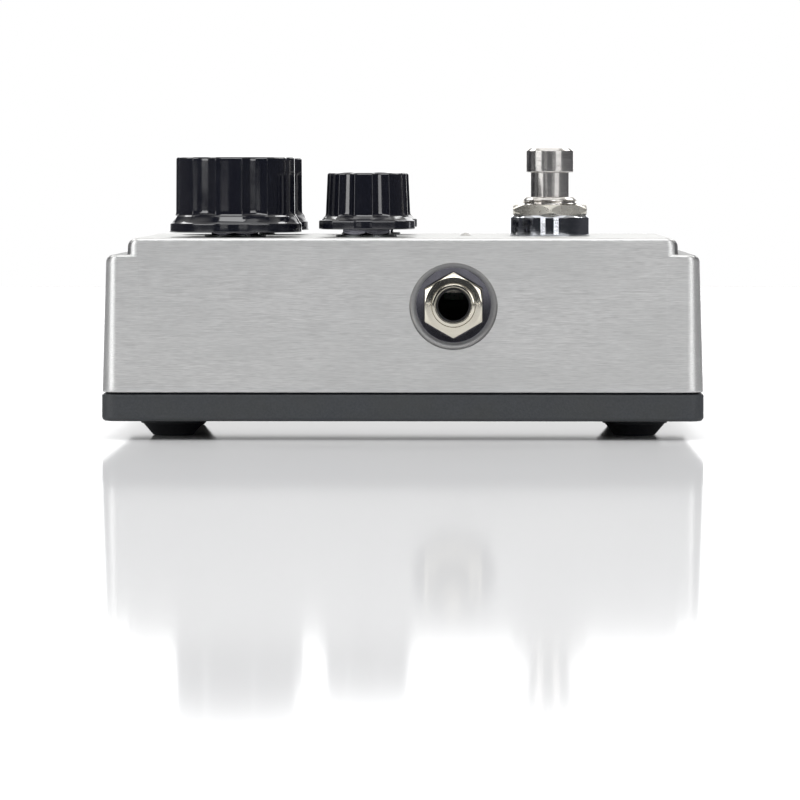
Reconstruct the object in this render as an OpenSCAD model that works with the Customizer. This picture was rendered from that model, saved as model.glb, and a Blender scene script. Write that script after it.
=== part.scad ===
// Guitar effects pedal. A drafted metal shell with a raised top stands on a
// base tray with four rubber feet. Its top carries two big and two small
// fluted knobs, an indicator lamp and a footswitch; a quarter-inch jack sits
// on each long side and a power jack in the knob end. Inside are the
// potentiometers, the circuit board, the switch and a 9 V battery.
// Origin: the middle of the footprint, on the surface that the feet stand on.
// +X runs to the footswitch end, +Z up, and -Y is the output jack's side.

/* [Base tray] */
// Length of the tray, along X
base_l = 126.5; // [125.5:0.5:150]
// Width of the tray, along Y
base_w = 87.5; // [87:0.5:120]
// Height of the tray's wall
base_h = 5.9; // [4.5:0.1:8]
// Thickness of the tray's floor
base_floor_t = 2; // [1.5:0.1:2.5]
// Radius of the tray's upright corners
base_r = 2.75; // [2:0.25:6]
// Height of the locating lip above the tray's wall
lip_h = 1.8; // [1:0.1:3]
// Thickness of the locating lip
lip_t = 1.2; // [0.8:0.1:1.6]
// Clearance between the lip and the shell
lip_clearance = 0.2; // [0.1:0.05:0.5]

/* [Shell] */
// Shadow gap between the tray and the shell
seam_gap = 0.4; // [0.2:0.1:1]
// Inset of the shell's foot from the tray's face
shell_inset = 0.1; // [0:0.05:0.5]
// Height of the shell, from the seam to its raised top
shell_h = 32.15; // [31.5:0.05:45]
// Thickness of the shell's side walls
wall_t = 1.9; // [1.6:0.1:2.3]
// Thickness of the shell's top
top_t = 2.2; // [1.8:0.1:2.8]
// Draft angle of the shell's walls
draft = 1.7; // [0.8:0.1:2.2]
// Radius of the shell's upright corners at the seam
shell_r = 2.75; // [2.5:0.25:5]
// Length of each end ledge, at the height of the raised top
ledge_l = 5.6; // [4:0.1:7]
// Height of the step between the raised top and the end ledges
step_h = 3.55; // [2:0.05:4.5]
// Radius of the raised top's upright corners
raised_r = 2.1; // [1.2:0.1:4]
// Edge radius across the ends of the raised top
end_edge_r = 1.7; // [0.5:0.1:2]
// Edge radius along the sides of the raised top
side_edge_r = 0.9; // [0.4:0.1:2]
// Edge radius of the end ledges
ledge_edge_r = 1.4; // [0.5:0.1:2]

/* [Base screws and feet] */
// Inset of the screws from the tray's faces
boss_inset = 6.25; // [5.5:0.05:7]
// Diameter of the screw bosses
boss_d = 8.8; // [7.5:0.1:10]
// Diameter of the base screws
screw_d = 3; // [2.5:0.1:3.5]
// Length of the base screws under the head
screw_l = 12; // [8:0.5:18]
// Diameter of the screw heads
screw_head_d = 5.6; // [5:0.1:6]
// Height of the screw heads
screw_head_h = 2; // [1.5:0.1:2.4]
// Depth of the screw heads below the tray's underside
screw_sink = 0.3; // [0:0.1:1]
// Height of the feet
foot_h = 4; // [2.5:0.1:8]
// Diameter of the feet at the tray
foot_top_d = 13.9; // [10:0.1:16]
// Diameter of the feet at the floor
foot_bottom_d = 9.6; // [7:0.1:14]
// Height of the upright lip at the top of the feet
foot_lip_h = 0.6; // [0.2:0.1:1.5]
// Distance between the feet along X
foot_spacing_x = 99; // [85:0.5:104]
// Distance between the feet along Y
foot_spacing_y = 42; // [30:0.5:58]

/* [Knobs] */
// Distance of the big knobs from the tray's -X end
big_inset = 27.25; // [26.25:0.05:28.25]
// Distance from the big knobs to the small knobs, along X
knob_pitch = 28.1; // [27:0.1:29]
// Distance between the knobs of a pair, along Y
knob_spacing = 45.8; // [40:0.1:52]
// Turn of the knobs from their middle position, anticlockwise
knob_turn = -16.4; // [-150:0.1:150]
// Number of lobes round a knob
lobe_count = 7; // [5:1:9]
// Diameter of a big knob's body
big_d = 25.4; // [22:0.1:26.8]
// Diameter of a big knob's skirt
big_skirt_d = 28.4; // [28:0.1:31]
// Height of a big knob
big_h = 16.2; // [13:0.1:20]
// Height of a big knob's rim
big_rim_h = 2.05; // [1:0.05:3]
// Height of a big knob's sloped shoulder
big_shoulder_h = 1.3; // [0.3:0.05:2]
// Gap between a big knob and the shell's top
big_gap = 1.15; // [0.8:0.05:1.9]
// Depth of a big knob's flutes, below the chord between their ridges
big_flute = 0.7; // [0.2:0.05:1]
// Diameter of a small knob's body
small_d = 17.2; // [16:0.1:19]
// Diameter of a small knob's skirt
small_skirt_d = 20.6; // [20:0.1:23]
// Height of a small knob
small_h = 12.15; // [10:0.05:16]
// Height of a small knob's rim
small_rim_h = 1.95; // [1.5:0.05:3]
// Height of a small knob's sloped shoulder
small_shoulder_h = 0.5; // [0.3:0.05:1]
// Gap between a small knob and the shell's top
small_gap = 1.8; // [1.2:0.05:2.2]
// Depth of a small knob's flutes, below the chord between their ridges
small_flute = 0.55; // [0.2:0.05:0.8]
// Draft angle of the knob bodies
knob_draft = 1; // [0.5:0.1:2]
// Rise of a knob's domed top
crown_h = 0.45; // [0.2:0.05:1]
// Radius of a knob's top edge
knob_edge_r = 0.5; // [0.2:0.1:1]
// Depth of the scallops in the skirts' rims
scallop_depth = 0.5; // [0.2:0.1:0.8]
// Width of a knob's pointer groove
pointer_w = 1.1; // [0.6:0.1:1.6]
// Depth of a knob's pointer groove
pointer_depth = 0.3; // [0.1:0.1:0.5]
// Thickness of plastic over the insert
knob_cap_t = 2.6; // [2:0.1:4]
// Diameter of the brass inserts
insert_d = 9; // [8.4:0.1:10]
// Diameter of the set screws
set_screw_d = 3; // [2.5:0.1:3.5]
// Length of the set screws
set_screw_l = 4; // [3:0.1:5]
// Height of the set screws above a knob's underside
set_screw_z = 6; // [5:0.1:7]

/* [Potentiometers] */
// Diameter of the shafts
shaft_d = 6; // [5.5:0.1:6.2]
// Distance of a shaft's flat from its axis
shaft_flat = 2.4; // [2:0.1:2.8]
// Running clearance between a shaft and its bushing
shaft_clearance = 0.05; // [0.02:0.01:0.08]
// Diameter of the threaded bushings
pot_bushing_d = 7; // [6.9:0.1:7.5]
// Height of the bushings above the shell's top
pot_bushing_rise = 2.65; // [2.5:0.05:2.8]
// Width of the nuts across their flats
pot_nut_af = 10; // [9:0.1:10.8]
// Thickness of the nuts
pot_nut_t = 2; // [1.5:0.1:2.1]
// Diameter of the washers
pot_washer_d = 13.2; // [11:0.1:14.5]
// Thickness of the washers
pot_washer_t = 0.5; // [0.3:0.1:0.6]
// Diameter of a big potentiometer's case
big_pot_d = 16.5; // [14:0.1:18]
// Height of a big potentiometer's case
big_pot_h = 7; // [6:0.1:8.5]
// Width of a small potentiometer's case, along X
small_pot_l = 9.7; // [9:0.1:11]
// Width of a small potentiometer's case, along Y
small_pot_w = 11.3; // [10:0.1:13]
// Height of a small potentiometer's case
small_pot_h = 6.8; // [6:0.1:8]
// Diameter of the terminals
terminal_d = 0.9; // [0.6:0.1:1.2]
// Distance between neighbouring terminals
terminal_pitch = 4; // [3:0.1:4]
// Length of the terminals below the board
terminal_stub = 1.2; // [0.5:0.1:2]

/* [Footswitch] */
// Gap between the footswitch's case and the battery
switch_gap = 1.55; // [0.9:0.05:2.2]
// Diameter of the plunger's cap
cap_d = 10.4; // [9.5:0.1:12]
// Height of the plunger's cap
cap_h = 5.1; // [4:0.1:7]
// Chamfer round the plunger's cap
cap_chamfer = 0.7; // [0.2:0.1:1]
// Diameter of the plunger's stem
stem_d = 8.45; // [7.8:0.05:9]
// Length of the stem above the bushing, when released
stem_rise = 5.6; // [5:0.1:8]
// Running clearance between the stem and the bushing
stem_clearance = 0.06; // [0.03:0.01:0.09]
// Travel of the plunger
plunger_travel = 2.5; // [1:0.1:3]
// Diameter of the threaded bushing
switch_bushing_d = 12; // [11.5:0.1:12.5]
// Diameter of the collar under the nut
collar_d = 17.4; // [15:0.1:20]
// Height of the collar
collar_h = 4.15; // [3:0.05:6]
// Chamfer of the collar's top edge
collar_chamfer = 0.5; // [0.2:0.1:1]
// Width of the nuts across their flats
switch_nut_af = 16; // [14:0.1:17]
// Thickness of the upper nut
switch_nut_t = 2.6; // [2:0.1:4]
// Height of the bushing above the upper nut
bushing_rise = 1.7; // [0.8:0.1:3]
// Thickness of the lock nut under the shell's top
lock_nut_t = 2.4; // [2:0.1:3]
// Thickness of the toothed lock washer
lock_washer_t = 0.6; // [0.4:0.1:1]
// Width of the switch case
switch_w = 17.5; // [16:0.1:18.5]
// Height of the switch case
switch_case_h = 14.5; // [14:0.1:16]
// Thickness of the metal frame round the case
switch_frame_t = 0.8; // [0.5:0.1:1]
// Length of the lugs under the case
lug_l = 3.4; // [2.5:0.1:4.5]
// Distance between neighbouring lugs
lug_pitch = 5.2; // [4.5:0.1:5.4]
// Thickness of the small board on the lugs
switch_board_t = 1.2; // [0.8:0.1:1.6]
// Wire diameter of the return spring
spring_wire = 0.7; // [0.5:0.05:0.9]
// Outer diameter of the return spring
spring_d = 7; // [6:0.1:7.6]
// Number of turns of the return spring
spring_turns = 5; // [3:1:7]

/* [Indicator lamp] */
// Distance from the lamp to the footswitch, along X
led_pitch = 18.4; // [16.6:0.1:19.6]
// Diameter of the lens
led_d = 3; // [2.5:0.1:5]
// Rise of the lens above the shell's top
led_rise = 0.65; // [0.3:0.05:1.2]
// Length of the lens
led_l = 5.3; // [4.5:0.1:6]

/* [Audio jacks] */
// Distance from the small knobs to the jacks, along X
jack_pitch = 18.6; // [17.9:0.1:18.9]
// Depth of the jacks' axes below the shell's top
jack_drop = 14.05; // [13.5:0.05:14.6]
// Diameter of the bore that takes the plug
jack_bore_d = 6.5; // [6.4:0.05:6.7]
// Diameter of the threaded bushings
jack_bushing_d = 9; // [8.8:0.1:9.6]
// Width of the nuts across their flats
jack_nut_af = 12; // [11:0.1:13]
// Thickness of the nuts
jack_nut_t = 2; // [1.5:0.1:3]
// Diameter of the dark washers
jack_washer_d = 15.9; // [15:0.1:17]
// Thickness of the dark washers
jack_washer_t = 0.8; // [0.6:0.1:1.2]
// Rise of the bushings in front of the nuts
jack_bushing_rise = 0.2; // [0.1:0.1:1]
// Diameter of the dished recess at the wall's face
recess_d = 18.8; // [18:0.1:20]
// Depth of the dished recess
recess_depth = 0.6; // [0.3:0.1:0.8]
// Thickness of the pads inside the wall, behind the recesses
jack_pad_t = 1; // [0.8:0.1:2]
// Width of the jack bodies, along X
jack_w = 15.6; // [14:0.1:16.5]
// Height of the jack bodies
jack_h = 17; // [16:0.1:18]
// Depth of the jack bodies behind the pads
jack_depth = 26; // [24:0.5:28]
// Thickness of the wall that closes a jack body's back
jack_back_t = 0.8; // [0.5:0.1:1.5]
// Width of the contact leaves
leaf_w = 3; // [2:0.1:4]
// Thickness of the contact leaves
leaf_t = 0.4; // [0.2:0.1:0.5]

/* [Power jack] */
// Depth of the power jack's axis below the board
dc_drop = 5.6; // [5.2:0.1:6.5]
// Diameter of the hole in the end wall
dc_hole_d = 8.6; // [8.2:0.1:9.5]
// Diameter of the socket
dc_bore_d = 5.6; // [5.5:0.1:6]
// Diameter of the centre pin
dc_pin_d = 2.1; // [1.9:0.1:2.5]
// Width of the power jack's body, along Y
dc_w = 9; // [8.6:0.1:11]
// Length of the power jack's body, along X
dc_l = 13.5; // [12:0.1:15]

/* [Circuit board] */
// Depth of the board's top face below the shell's ceiling
board_drop = 9.95; // [9.5:0.05:11]
// Thickness of the boards
board_t = 1.6; // [1.2:0.1:2]
// Gap between the board's end and the end wall
board_gap = 2; // [1:0.1:3]
// Distance of the board's long edges from the tray's faces
board_side = 5.75; // [4.75:0.25:10.75]
// Clearance between the board and the bodies of the jacks
board_clearance = 1.2; // [0.6:0.1:2]

/* [Components] */
// Length of the chips
chip_l = 9.8; // [8:0.1:10]
// Width of the chips
chip_w = 6.4; // [5:0.1:7]
// Height of the chips under the board
chip_h = 3.6; // [3:0.1:5]
// Diameter of the electrolytic capacitors
electrolytic_d = 6.3; // [5:0.1:6.8]
// Height of the electrolytic capacitors
electrolytic_h = 11; // [7:0.5:14]
// Length of the film capacitors, along Y
film_l = 7.2; // [5:0.1:9]
// Thickness of the film capacitors
film_t = 2.6; // [2:0.1:5]
// Height of the film capacitors
film_h = 6.5; // [4:0.1:9]
// Diameter of the resistors
resistor_d = 2.2; // [1.6:0.1:2.6]
// Length of the resistors
resistor_l = 6.2; // [4:0.1:7]
// Distance between neighbouring resistors
resistor_pitch = 2.9; // [2.7:0.1:3]
// Thickness of the flat cable
cable_t = 0.9; // [0.5:0.1:1.2]
// Width of the flat cable
cable_w = 12; // [8:0.5:16]

/* [Battery] */
// Length of the battery with its terminals
battery_l = 48.5; // [44:0.5:50]
// Height of the battery, on its long edge
battery_h = 26.5; // [24:0.5:27]
// Thickness of the battery
battery_t = 17.5; // [16:0.1:17.9]
// Thickness of the foam pad under the battery
pad_t = 2; // [1:0.1:2.5]
// Gap between the battery and the tray's lip
battery_gap = 0.45; // [0.3:0.05:0.8]
// Thickness of the clip on the battery's terminals
clip_t = 2.4; // [2:0.1:3.5]
// Diameter of the battery's leads
lead_d = 1.4; // [1:0.1:1.8]

/* [Hidden] */
$fn = 64;

near = -1;
far = 1;
sides = [near, far];
eps = 0.01;
// Radial clearance of threads, and of pieces pressed or glued together
fit_clearance = 0.05;
// Clearance of a hole that a thread passes through, on its diameter
hole_clearance = 0.3;
// Gap between what turns with a knob and the fixed hardware under it
rotor_gap = 0.45;
// Reach of the shafts below the ceiling, into the potentiometers
shaft_depth = 4;
// Free travel of the plunger beyond its stop
plunger_spare = 0.4;
// Height of the case's floor under the return spring
spring_seat_t = 2.2;
// Clearance round the plunger inside the switch
well_clearance = 0.4;
// Gap between the lugs' shoulders and the switch's board
switch_board_gap = 1;
// Distance of the board's tongue from the switch, for the flat cable's bend
cable_reach = 3.2;
// Inset of the flat cable's ends from the boards' edges
cable_inset = 1.2;
// Distance of the film capacitors from the board's long edges
film_inset = 7;

// Heights of the case, from the floor up
base_z0 = foot_h;
base_z1 = base_z0 + base_h;
floor_z = base_z0 + base_floor_t;
shell_z0 = base_z1 + seam_gap;
shell_z1 = shell_z0 + shell_h;
ceiling_z = shell_z1 - top_t;
ledge_h = shell_h - step_h;
shell_l = base_l - 2 * shell_inset;
shell_w = base_w - 2 * shell_inset;
raised_l = base_l - 2 * ledge_l;
base_wall_t = shell_inset + wall_t + lip_clearance + lip_t;
boss_x = base_l / 2 - boss_inset;
boss_y = base_w / 2 - boss_inset;
// Step in the inside of the side walls, where the raised top begins
roof_inset = 0.4;
inner_r = 2;

// Places along X, from the ends of the tray
big_x = big_inset - base_l / 2;
small_x = big_x + knob_pitch;
jack_x = small_x + jack_pitch;
battery_x1 = base_l / 2 - base_wall_t - battery_gap;
battery_x0 = battery_x1 - battery_t;
switch_x = battery_x0 - switch_gap - switch_w / 2;
led_x = switch_x - led_pitch;

// Knobs and potentiometers
big_z0 = shell_z1 + big_gap;
small_z0 = shell_z1 + small_gap;
nut_z0 = shell_z1 + pot_washer_t;
knob_hollow_z = shell_z1 + max(pot_bushing_rise, pot_washer_t + pot_nut_t) + rotor_gap;
knob_hollow_r = pot_nut_af / 2 / cos(30) + 2 * rotor_gap;
flute_half = 90 / lobe_count;
board_z1 = ceiling_z - board_drop;
board_z0 = board_z1 - board_t;
shaft_z0 = ceiling_z - shaft_depth;

// Footswitch stack
collar_z1 = shell_z1 + collar_h;
switch_nut_z1 = collar_z1 + switch_nut_t;
bushing_z1 = switch_nut_z1 + bushing_rise;
cap_z0 = bushing_z1 + stem_rise;
plunger_z1 = cap_z0 + cap_h;
lock_washer_z0 = ceiling_z - lock_washer_t;
lock_nut_z0 = lock_washer_z0 - lock_nut_t;
frame_z1 = lock_nut_z0 - 0.15;
case_z1 = frame_z1 - switch_frame_t;
case_z0 = case_z1 - switch_case_h;
case_well_d = spring_d + 2 * well_clearance;
spring_z0 = case_z0 + spring_seat_t;
plunger_z0 = case_z1 - plunger_travel - plunger_spare;
spring_z1 = plunger_z0 - 0.1;
switch_board_z1 = case_z0 - switch_board_gap;

// Jacks
jack_z = shell_z1 - jack_drop;
jack_wall_y = shell_w / 2 - (jack_z - shell_z0) * tan(draft);
recess_y = jack_wall_y - recess_depth;
jack_pad_y = jack_wall_y - wall_t - jack_pad_t;
jack_washer_y = recess_y + jack_washer_t;
jack_nut_y = jack_washer_y + jack_nut_t;
jack_face_y = jack_nut_y + jack_bushing_rise;
jack_back_y = jack_pad_y - jack_depth;
dc_z = board_z0 - dc_drop;
dc_wall_x = -(shell_l / 2 - (dc_z - shell_z0) * tan(draft));
dc_face_x = dc_wall_x + 0.3;
dc_body_x = dc_wall_x + wall_t + 0.35;

// Board and battery
board_x0 = -(shell_l / 2 - wall_t - (board_z1 - shell_z0) * tan(draft)) + board_gap;
board_x1 = jack_x - jack_w / 2 - board_clearance;
board_w = base_w - 2 * board_side;
tongue_w = 2 * (jack_back_y - board_clearance);
tongue_x1 = switch_x - switch_w / 2 - cable_reach;
arm_x1 = max(tongue_x1, jack_x + leaf_w / 2 + 1);
notch_x = -(boss_x - boss_d / 2) + 1;
notch_y = boss_y - boss_d / 2 - 2;
arm_y = switch_w / 2 + fit_clearance + switch_frame_t + 0.5;
battery_z0 = floor_z + pad_t;
snap_l = 3;
snap_d = 6.6;
snap_spacing = 12.7;
battery_body_l = battery_l - snap_l;
battery_y1 = -battery_l / 2 + battery_body_l;

// Places of the components on the board, [x, y], from the tray's -X end and its middle line
chip_places = [[33.75, 0], [48.25, 0]];
electrolytic_places = [[14.75, 12], [14.75, -14], [42.25, 11], [42.25, -11], [60.25, 9]];
film_columns = [29.25, 37.25, 47.25, 55.25];
film_places = [for (x = film_columns, side = sides) [x, side * (board_w / 2 - film_inset)]];
resistor_columns = [[23.65, 0], [58.25, -10]];
resistors_in_column = 7;
// Route of the battery's first lead, with y and the height above the tray's floor:
// first by the share of the way from the clip to the jack's axis, then by the distance beyond it
lead_run = [[0.28, 25, 6.5], [0.49, 26, 6.2], [0.72, 26.5, 6], [1.02, 26, 6]];
lead_rise = [[8.7, 25, 6.5], [11.7, 24.5, 8], [12.7, 24, 11], [12.7, 24, 16]];

// ---- helpers ----

// Block with rounded upright corners whose walls lean in by the draft angle
module drafted_block(l, w, h, r, lean) {
    inset = h * tan(lean);
    rotate([90, 0, 0]) linear_extrude(w - 2 * r, center = true)
        polygon([[-l / 2, 0], [l / 2, 0], [l / 2 - inset, h], [inset - l / 2, h]]);
    rotate([90, 0, 90]) linear_extrude(l - 2 * r, center = true)
        polygon([[-w / 2, 0], [w / 2, 0], [w / 2 - inset, h], [inset - w / 2, h]]);
    for (sx = [-1, 1], sy = [-1, 1])
        translate([sx * (l / 2 - r), sy * (w / 2 - r), 0]) cylinder(h = h, r1 = r, r2 = r - inset);
}

// Leaning section with true arcs of radius r at its top corners
module arched_section(w, h, r, lean) {
    half = w / 2 - (h - r) * tan(lean);
    polygon([[-w / 2, 0], [w / 2, 0], [half, h - r], [-half, h - r]]);
    translate([r - half, 0]) square([2 * (half - r), h]);
    for (s = [-1, 1]) translate([s * (half - r), h - r]) circle(r);
}

// Hexagonal nut on +Z with its corners chamfered at both faces
module hex_nut(af, t, hole_d, corner_turn = 0) {
    corner_r = af / 2 / cos(30);
    chamfer = (corner_r - af / 2) * 0.45;
    difference() {
        intersection() {
            rotate([0, 0, corner_turn]) cylinder(h = t, r = corner_r, $fn = 6);
            union() {
                cylinder(h = chamfer, r1 = af / 2 + 0.1, r2 = corner_r);
                translate([0, 0, chamfer]) cylinder(h = t - 2 * chamfer, r = corner_r);
                translate([0, 0, t - chamfer]) cylinder(h = chamfer, r1 = corner_r, r2 = af / 2 + 0.1);
            }
        }
        translate([0, 0, -1]) cylinder(h = t + 2, d = hole_d);
    }
}

module ring(outer_d, inner_d, h) {
    difference() {
        cylinder(h = h, d = outer_d);
        translate([0, 0, -1]) cylinder(h = h + 2, d = inner_d);
    }
}

// Places its children on a side wall, with +Z pointing out of the wall
module on_side(side, x, y, z) {
    translate([x, side * y, z]) rotate([-90 * side, 0, 0]) children();
}

function unit(v) = v / norm(v);

// Round tube of radius r swept along a list of points
module swept_tube(path, r, n) {
    last = len(path) - 1;
    tangents = [for (i = [0:last]) unit(path[min(i + 1, last)] - path[max(i - 1, 0)])];
    start = abs(tangents[0][2]) < 0.9 ? [0, 0, 1] : [1, 0, 0];
    normals = [for (i = 0, v = unit(start - tangents[0] * (start * tangents[0])); i <= last;
        i = i + 1, v = i > last ? v : unit(v - tangents[i] * (v * tangents[i]))) v];
    points = [for (i = [0:last], k = [0:n - 1])
        path[i] + r * (cos(360 * k / n) * normals[i] + sin(360 * k / n) * cross(tangents[i], normals[i]))];
    walls = [for (i = [0:last - 1], k = [0:n - 1])
        [i * n + k, i * n + (k + 1) % n, (i + 1) * n + (k + 1) % n, (i + 1) * n + k]];
    polyhedron(points, concat(walls, [[for (k = [n - 1:-1:0]) k]], [[for (k = [0:n - 1]) last * n + k]]),
        convexity = 6);
}

// ---- case ----

// The walls keep one draft from the seam to the top, so the raised top stands flush with the sides
module case_outside() {
    lean = tan(draft);
    top_l = raised_l + 2 * step_h * lean;
    top_w = shell_w - 2 * ledge_h * lean;
    translate([0, 0, shell_z0]) intersection() {
        drafted_block(shell_l, shell_w, ledge_h, shell_r, draft);
        rotate([90, 0, 0]) linear_extrude(base_w + 2, center = true)
            arched_section(shell_l, ledge_h, ledge_edge_r, draft);
    }
    translate([0, 0, shell_z0 + ledge_h]) intersection() {
        drafted_block(top_l, top_w, step_h, raised_r + step_h * lean, draft);
        rotate([90, 0, 0]) linear_extrude(base_w + 2, center = true)
            arched_section(top_l, step_h, end_edge_r, draft);
        rotate([90, 0, 90]) linear_extrude(base_l + 2, center = true)
            arched_section(top_w, step_h, side_edge_r, draft);
    }
}

module case_inside() {
    lean = tan(draft);
    low_h = ledge_h - top_t;
    low_l = shell_l - 2 * wall_t;
    low_w = shell_w - 2 * wall_t;
    high_h = step_h + wall_t;
    high_l = raised_l - 2 * wall_t + 2 * (high_h + top_t) * lean;
    high_w = low_w - 2 * low_h * lean - 2 * roof_inset;
    translate([0, 0, shell_z0 - eps]) drafted_block(low_l, low_w, low_h + eps, inner_r, draft);
    translate([0, 0, ceiling_z - high_h])
        drafted_block(high_l, high_w, high_h, inner_r - low_h * lean, draft);
}

module at_bosses(z) {
    for (sx = [-1, 1], sy = [-1, 1]) translate([sx * boss_x, sy * boss_y, z]) children();
}

module at_pots(z) {
    for (side = sides, x = [big_x, small_x]) translate([x, side * knob_spacing / 2, z]) children();
}

module shell() color("silver") {
    difference() {
        union() {
            difference() {
                case_outside();
                case_inside();
            }
            at_bosses(shell_z0) cylinder(h = ledge_h - top_t / 2, d = boss_d);
            for (side = sides) on_side(side, jack_x, jack_pad_y, jack_z)
                cylinder(h = jack_pad_t + wall_t / 2, d = recess_d + 3);
        }
        at_bosses(shell_z0 - 1) cylinder(h = screw_l, d = screw_d + 2 * fit_clearance);
        at_pots(ceiling_z - 1) cylinder(h = top_t + 2, d = pot_bushing_d + hole_clearance);
        translate([switch_x, 0, ceiling_z - 1])
            cylinder(h = top_t + 2, d = switch_bushing_d + hole_clearance);
        translate([led_x, 0, ceiling_z - 1]) cylinder(h = top_t + 2, d = led_d + hole_clearance);
        for (side = sides) {
            on_side(side, jack_x, jack_pad_y - 1, jack_z)
                cylinder(h = wall_t + jack_pad_t + 5.1, d = jack_bushing_d + hole_clearance);
            on_side(side, jack_x, recess_y, jack_z) recess_cut();
        }
        translate([dc_wall_x - 1, 0, dc_z]) rotate([0, 90, 0]) cylinder(h = wall_t + 2, d = dc_hole_d);
    }
}

// Dish round a jack: a flat floor for the washer and a wall that opens outwards
module recess_cut() {
    floor_d = jack_washer_d + hole_clearance;
    steps = 3;
    cylinder(h = steps * recess_depth, d1 = floor_d, d2 = floor_d + steps * (recess_d - floor_d));
}

module base_plate() color("#33353a") {
    difference() {
        union() {
            difference() {
                union() {
                    translate([0, 0, base_z0]) drafted_block(base_l, base_w, base_h, base_r, 0);
                    translate([0, 0, base_z0]) drafted_block(base_l - 2 * (base_wall_t - lip_t),
                        base_w - 2 * (base_wall_t - lip_t), base_h + lip_h, inner_r, 0);
                }
                translate([0, 0, floor_z]) drafted_block(base_l - 2 * base_wall_t,
                    base_w - 2 * base_wall_t, base_h + lip_h, inner_r - lip_t / 2, 0);
                at_bosses(shell_z0) cylinder(h = lip_h + 1, d = boss_d + 0.6);
            }
            at_bosses(base_z0 + eps) cylinder(h = shell_z0 - base_z0 - eps, d = boss_d);
        }
        at_bosses(base_z0 - 1) cylinder(h = base_h + 3, d = screw_d + 0.4);
        at_bosses(base_z0 - 1) cylinder(h = 1 + screw_sink + screw_head_h, d = screw_head_d + 0.6);
    }
}

module base_screws() color("silver") {
    head_z1 = base_z0 + screw_sink + screw_head_h;
    at_bosses(0) difference() {
        union() {
            translate([0, 0, head_z1 - screw_head_h]) cylinder(h = screw_head_h, d = screw_head_d);
            translate([0, 0, head_z1 - eps]) cylinder(h = screw_l - 3, d = screw_d);
        }
        for (turn = [0, 90]) rotate([0, 0, turn])
            translate([-1.5, -0.3, head_z1 - screw_head_h - 1]) cube([3, 0.6, 2]);
    }
}

module feet() color("#151515") {
    for (sx = [-1, 1], sy = [-1, 1])
        translate([sx * foot_spacing_x / 2, sy * foot_spacing_y / 2, 0]) {
            cylinder(h = foot_h - foot_lip_h, d1 = foot_bottom_d, d2 = foot_top_d - 0.8);
            translate([0, 0, foot_h - foot_lip_h - eps]) cylinder(h = foot_lip_h + eps, d = foot_top_d);
        }
}

// ---- knobs ----

// Outline of half a knob, turned round Z: rim, sloped shoulder, leaning body, domed top
function knob_outline(d, skirt_d, h, rim_h, shoulder_h) =
    let(foot_r = d / 2, top_r = foot_r - (h - rim_h - shoulder_h) * tan(knob_draft), edge_z = h - crown_h)
    concat([[0, 0], [skirt_d / 2, 0], [skirt_d / 2, rim_h], [foot_r, rim_h + shoulder_h]],
        [for (a = [0:22.5:90]) [top_r - knob_edge_r * (1 - cos(a)), edge_z - knob_edge_r * (1 - sin(a))]],
        [for (i = [3:-1:0]) [(top_r - knob_edge_r) * i / 4, edge_z + crown_h * (1 - pow(i / 4, 2))]]);

module knob(d, skirt_d, h, rim_h, shoulder_h, flute, hollow_h) {
    half_chord = d / 2 * sin(flute_half);
    flute_r = (pow(half_chord, 2) + pow(flute, 2)) / (2 * flute);
    flute_x = d / 2 * cos(flute_half) - flute + flute_r;
    scallop_r = 3.2;
    first_lobe = 180 + knob_turn;
    difference() {
        rotate_extrude() polygon(knob_outline(d, skirt_d, h, rim_h, shoulder_h));
        for (k = [0:lobe_count - 1]) rotate([0, 0, first_lobe + (k + 0.5) * 360 / lobe_count]) {
            translate([flute_x, 0, rim_h + shoulder_h]) cylinder(h = h, r = flute_r);
            translate([skirt_d / 2 - scallop_depth + scallop_r, 0, -1])
                cylinder(h = rim_h + shoulder_h + 2, r = scallop_r);
        }
        translate([0, 0, -1]) cylinder(h = 1 + hollow_h, r = knob_hollow_r);
        translate([0, 0, hollow_h - eps])
            cylinder(h = h - knob_cap_t - hollow_h + eps, d = insert_d + 2 * fit_clearance);
        rotate([0, 0, first_lobe]) {
            translate([d / 8, -pointer_w / 2, h - crown_h - pointer_depth]) cube([d / 2, pointer_w, 5]);
            translate([d / 2 - 2 * pointer_depth, -pointer_w / 2, rim_h + shoulder_h])
                cube([d / 2, pointer_w, h]);
        }
        translate([0, 0, set_screw_z]) rotate([0, 90, set_screw_turn()])
            cylinder(h = d, d = set_screw_d + 0.3);
    }
}

// The set screw sits in the flute that faces the far side most nearly
function set_screw_turn() =
    let(step = 360 / lobe_count, first = 180 + knob_turn + step / 2)
    first + step * round((90 - first) / step);

module insert(z0, h, hollow_h) {
    color("#c9a14a") difference() {
        translate([0, 0, z0 + hollow_h]) cylinder(h = h - knob_cap_t - hollow_h, d = insert_d);
        translate([0, 0, z0]) cylinder(h = h - knob_cap_t - 1, d = shaft_d + 2 * fit_clearance);
        translate([0, 0, z0 + set_screw_z]) rotate([0, 90, set_screw_turn()])
            cylinder(h = insert_d, d = set_screw_d + 2 * fit_clearance);
    }
}

module set_screw(z0) {
    color("#8d8f92") rotate([0, 0, set_screw_turn()]) translate([shaft_flat, 0, z0 + set_screw_z])
        rotate([0, 90, 0]) difference() {
            cylinder(h = set_screw_l, d = set_screw_d);
            translate([0, 0, set_screw_l - 1.2]) cylinder(h = 2, r = 0.85, $fn = 6);
        }
}

module shaft(z1) {
    color("#b9bbbd") difference() {
        translate([0, 0, shaft_z0]) cylinder(h = z1 - shaft_z0, d = shaft_d);
        rotate([0, 0, set_screw_turn()]) translate([shaft_flat, -shaft_d / 2, shell_z1 + pot_bushing_rise])
            cube([shaft_d, shaft_d, z1]);
    }
}

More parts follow.
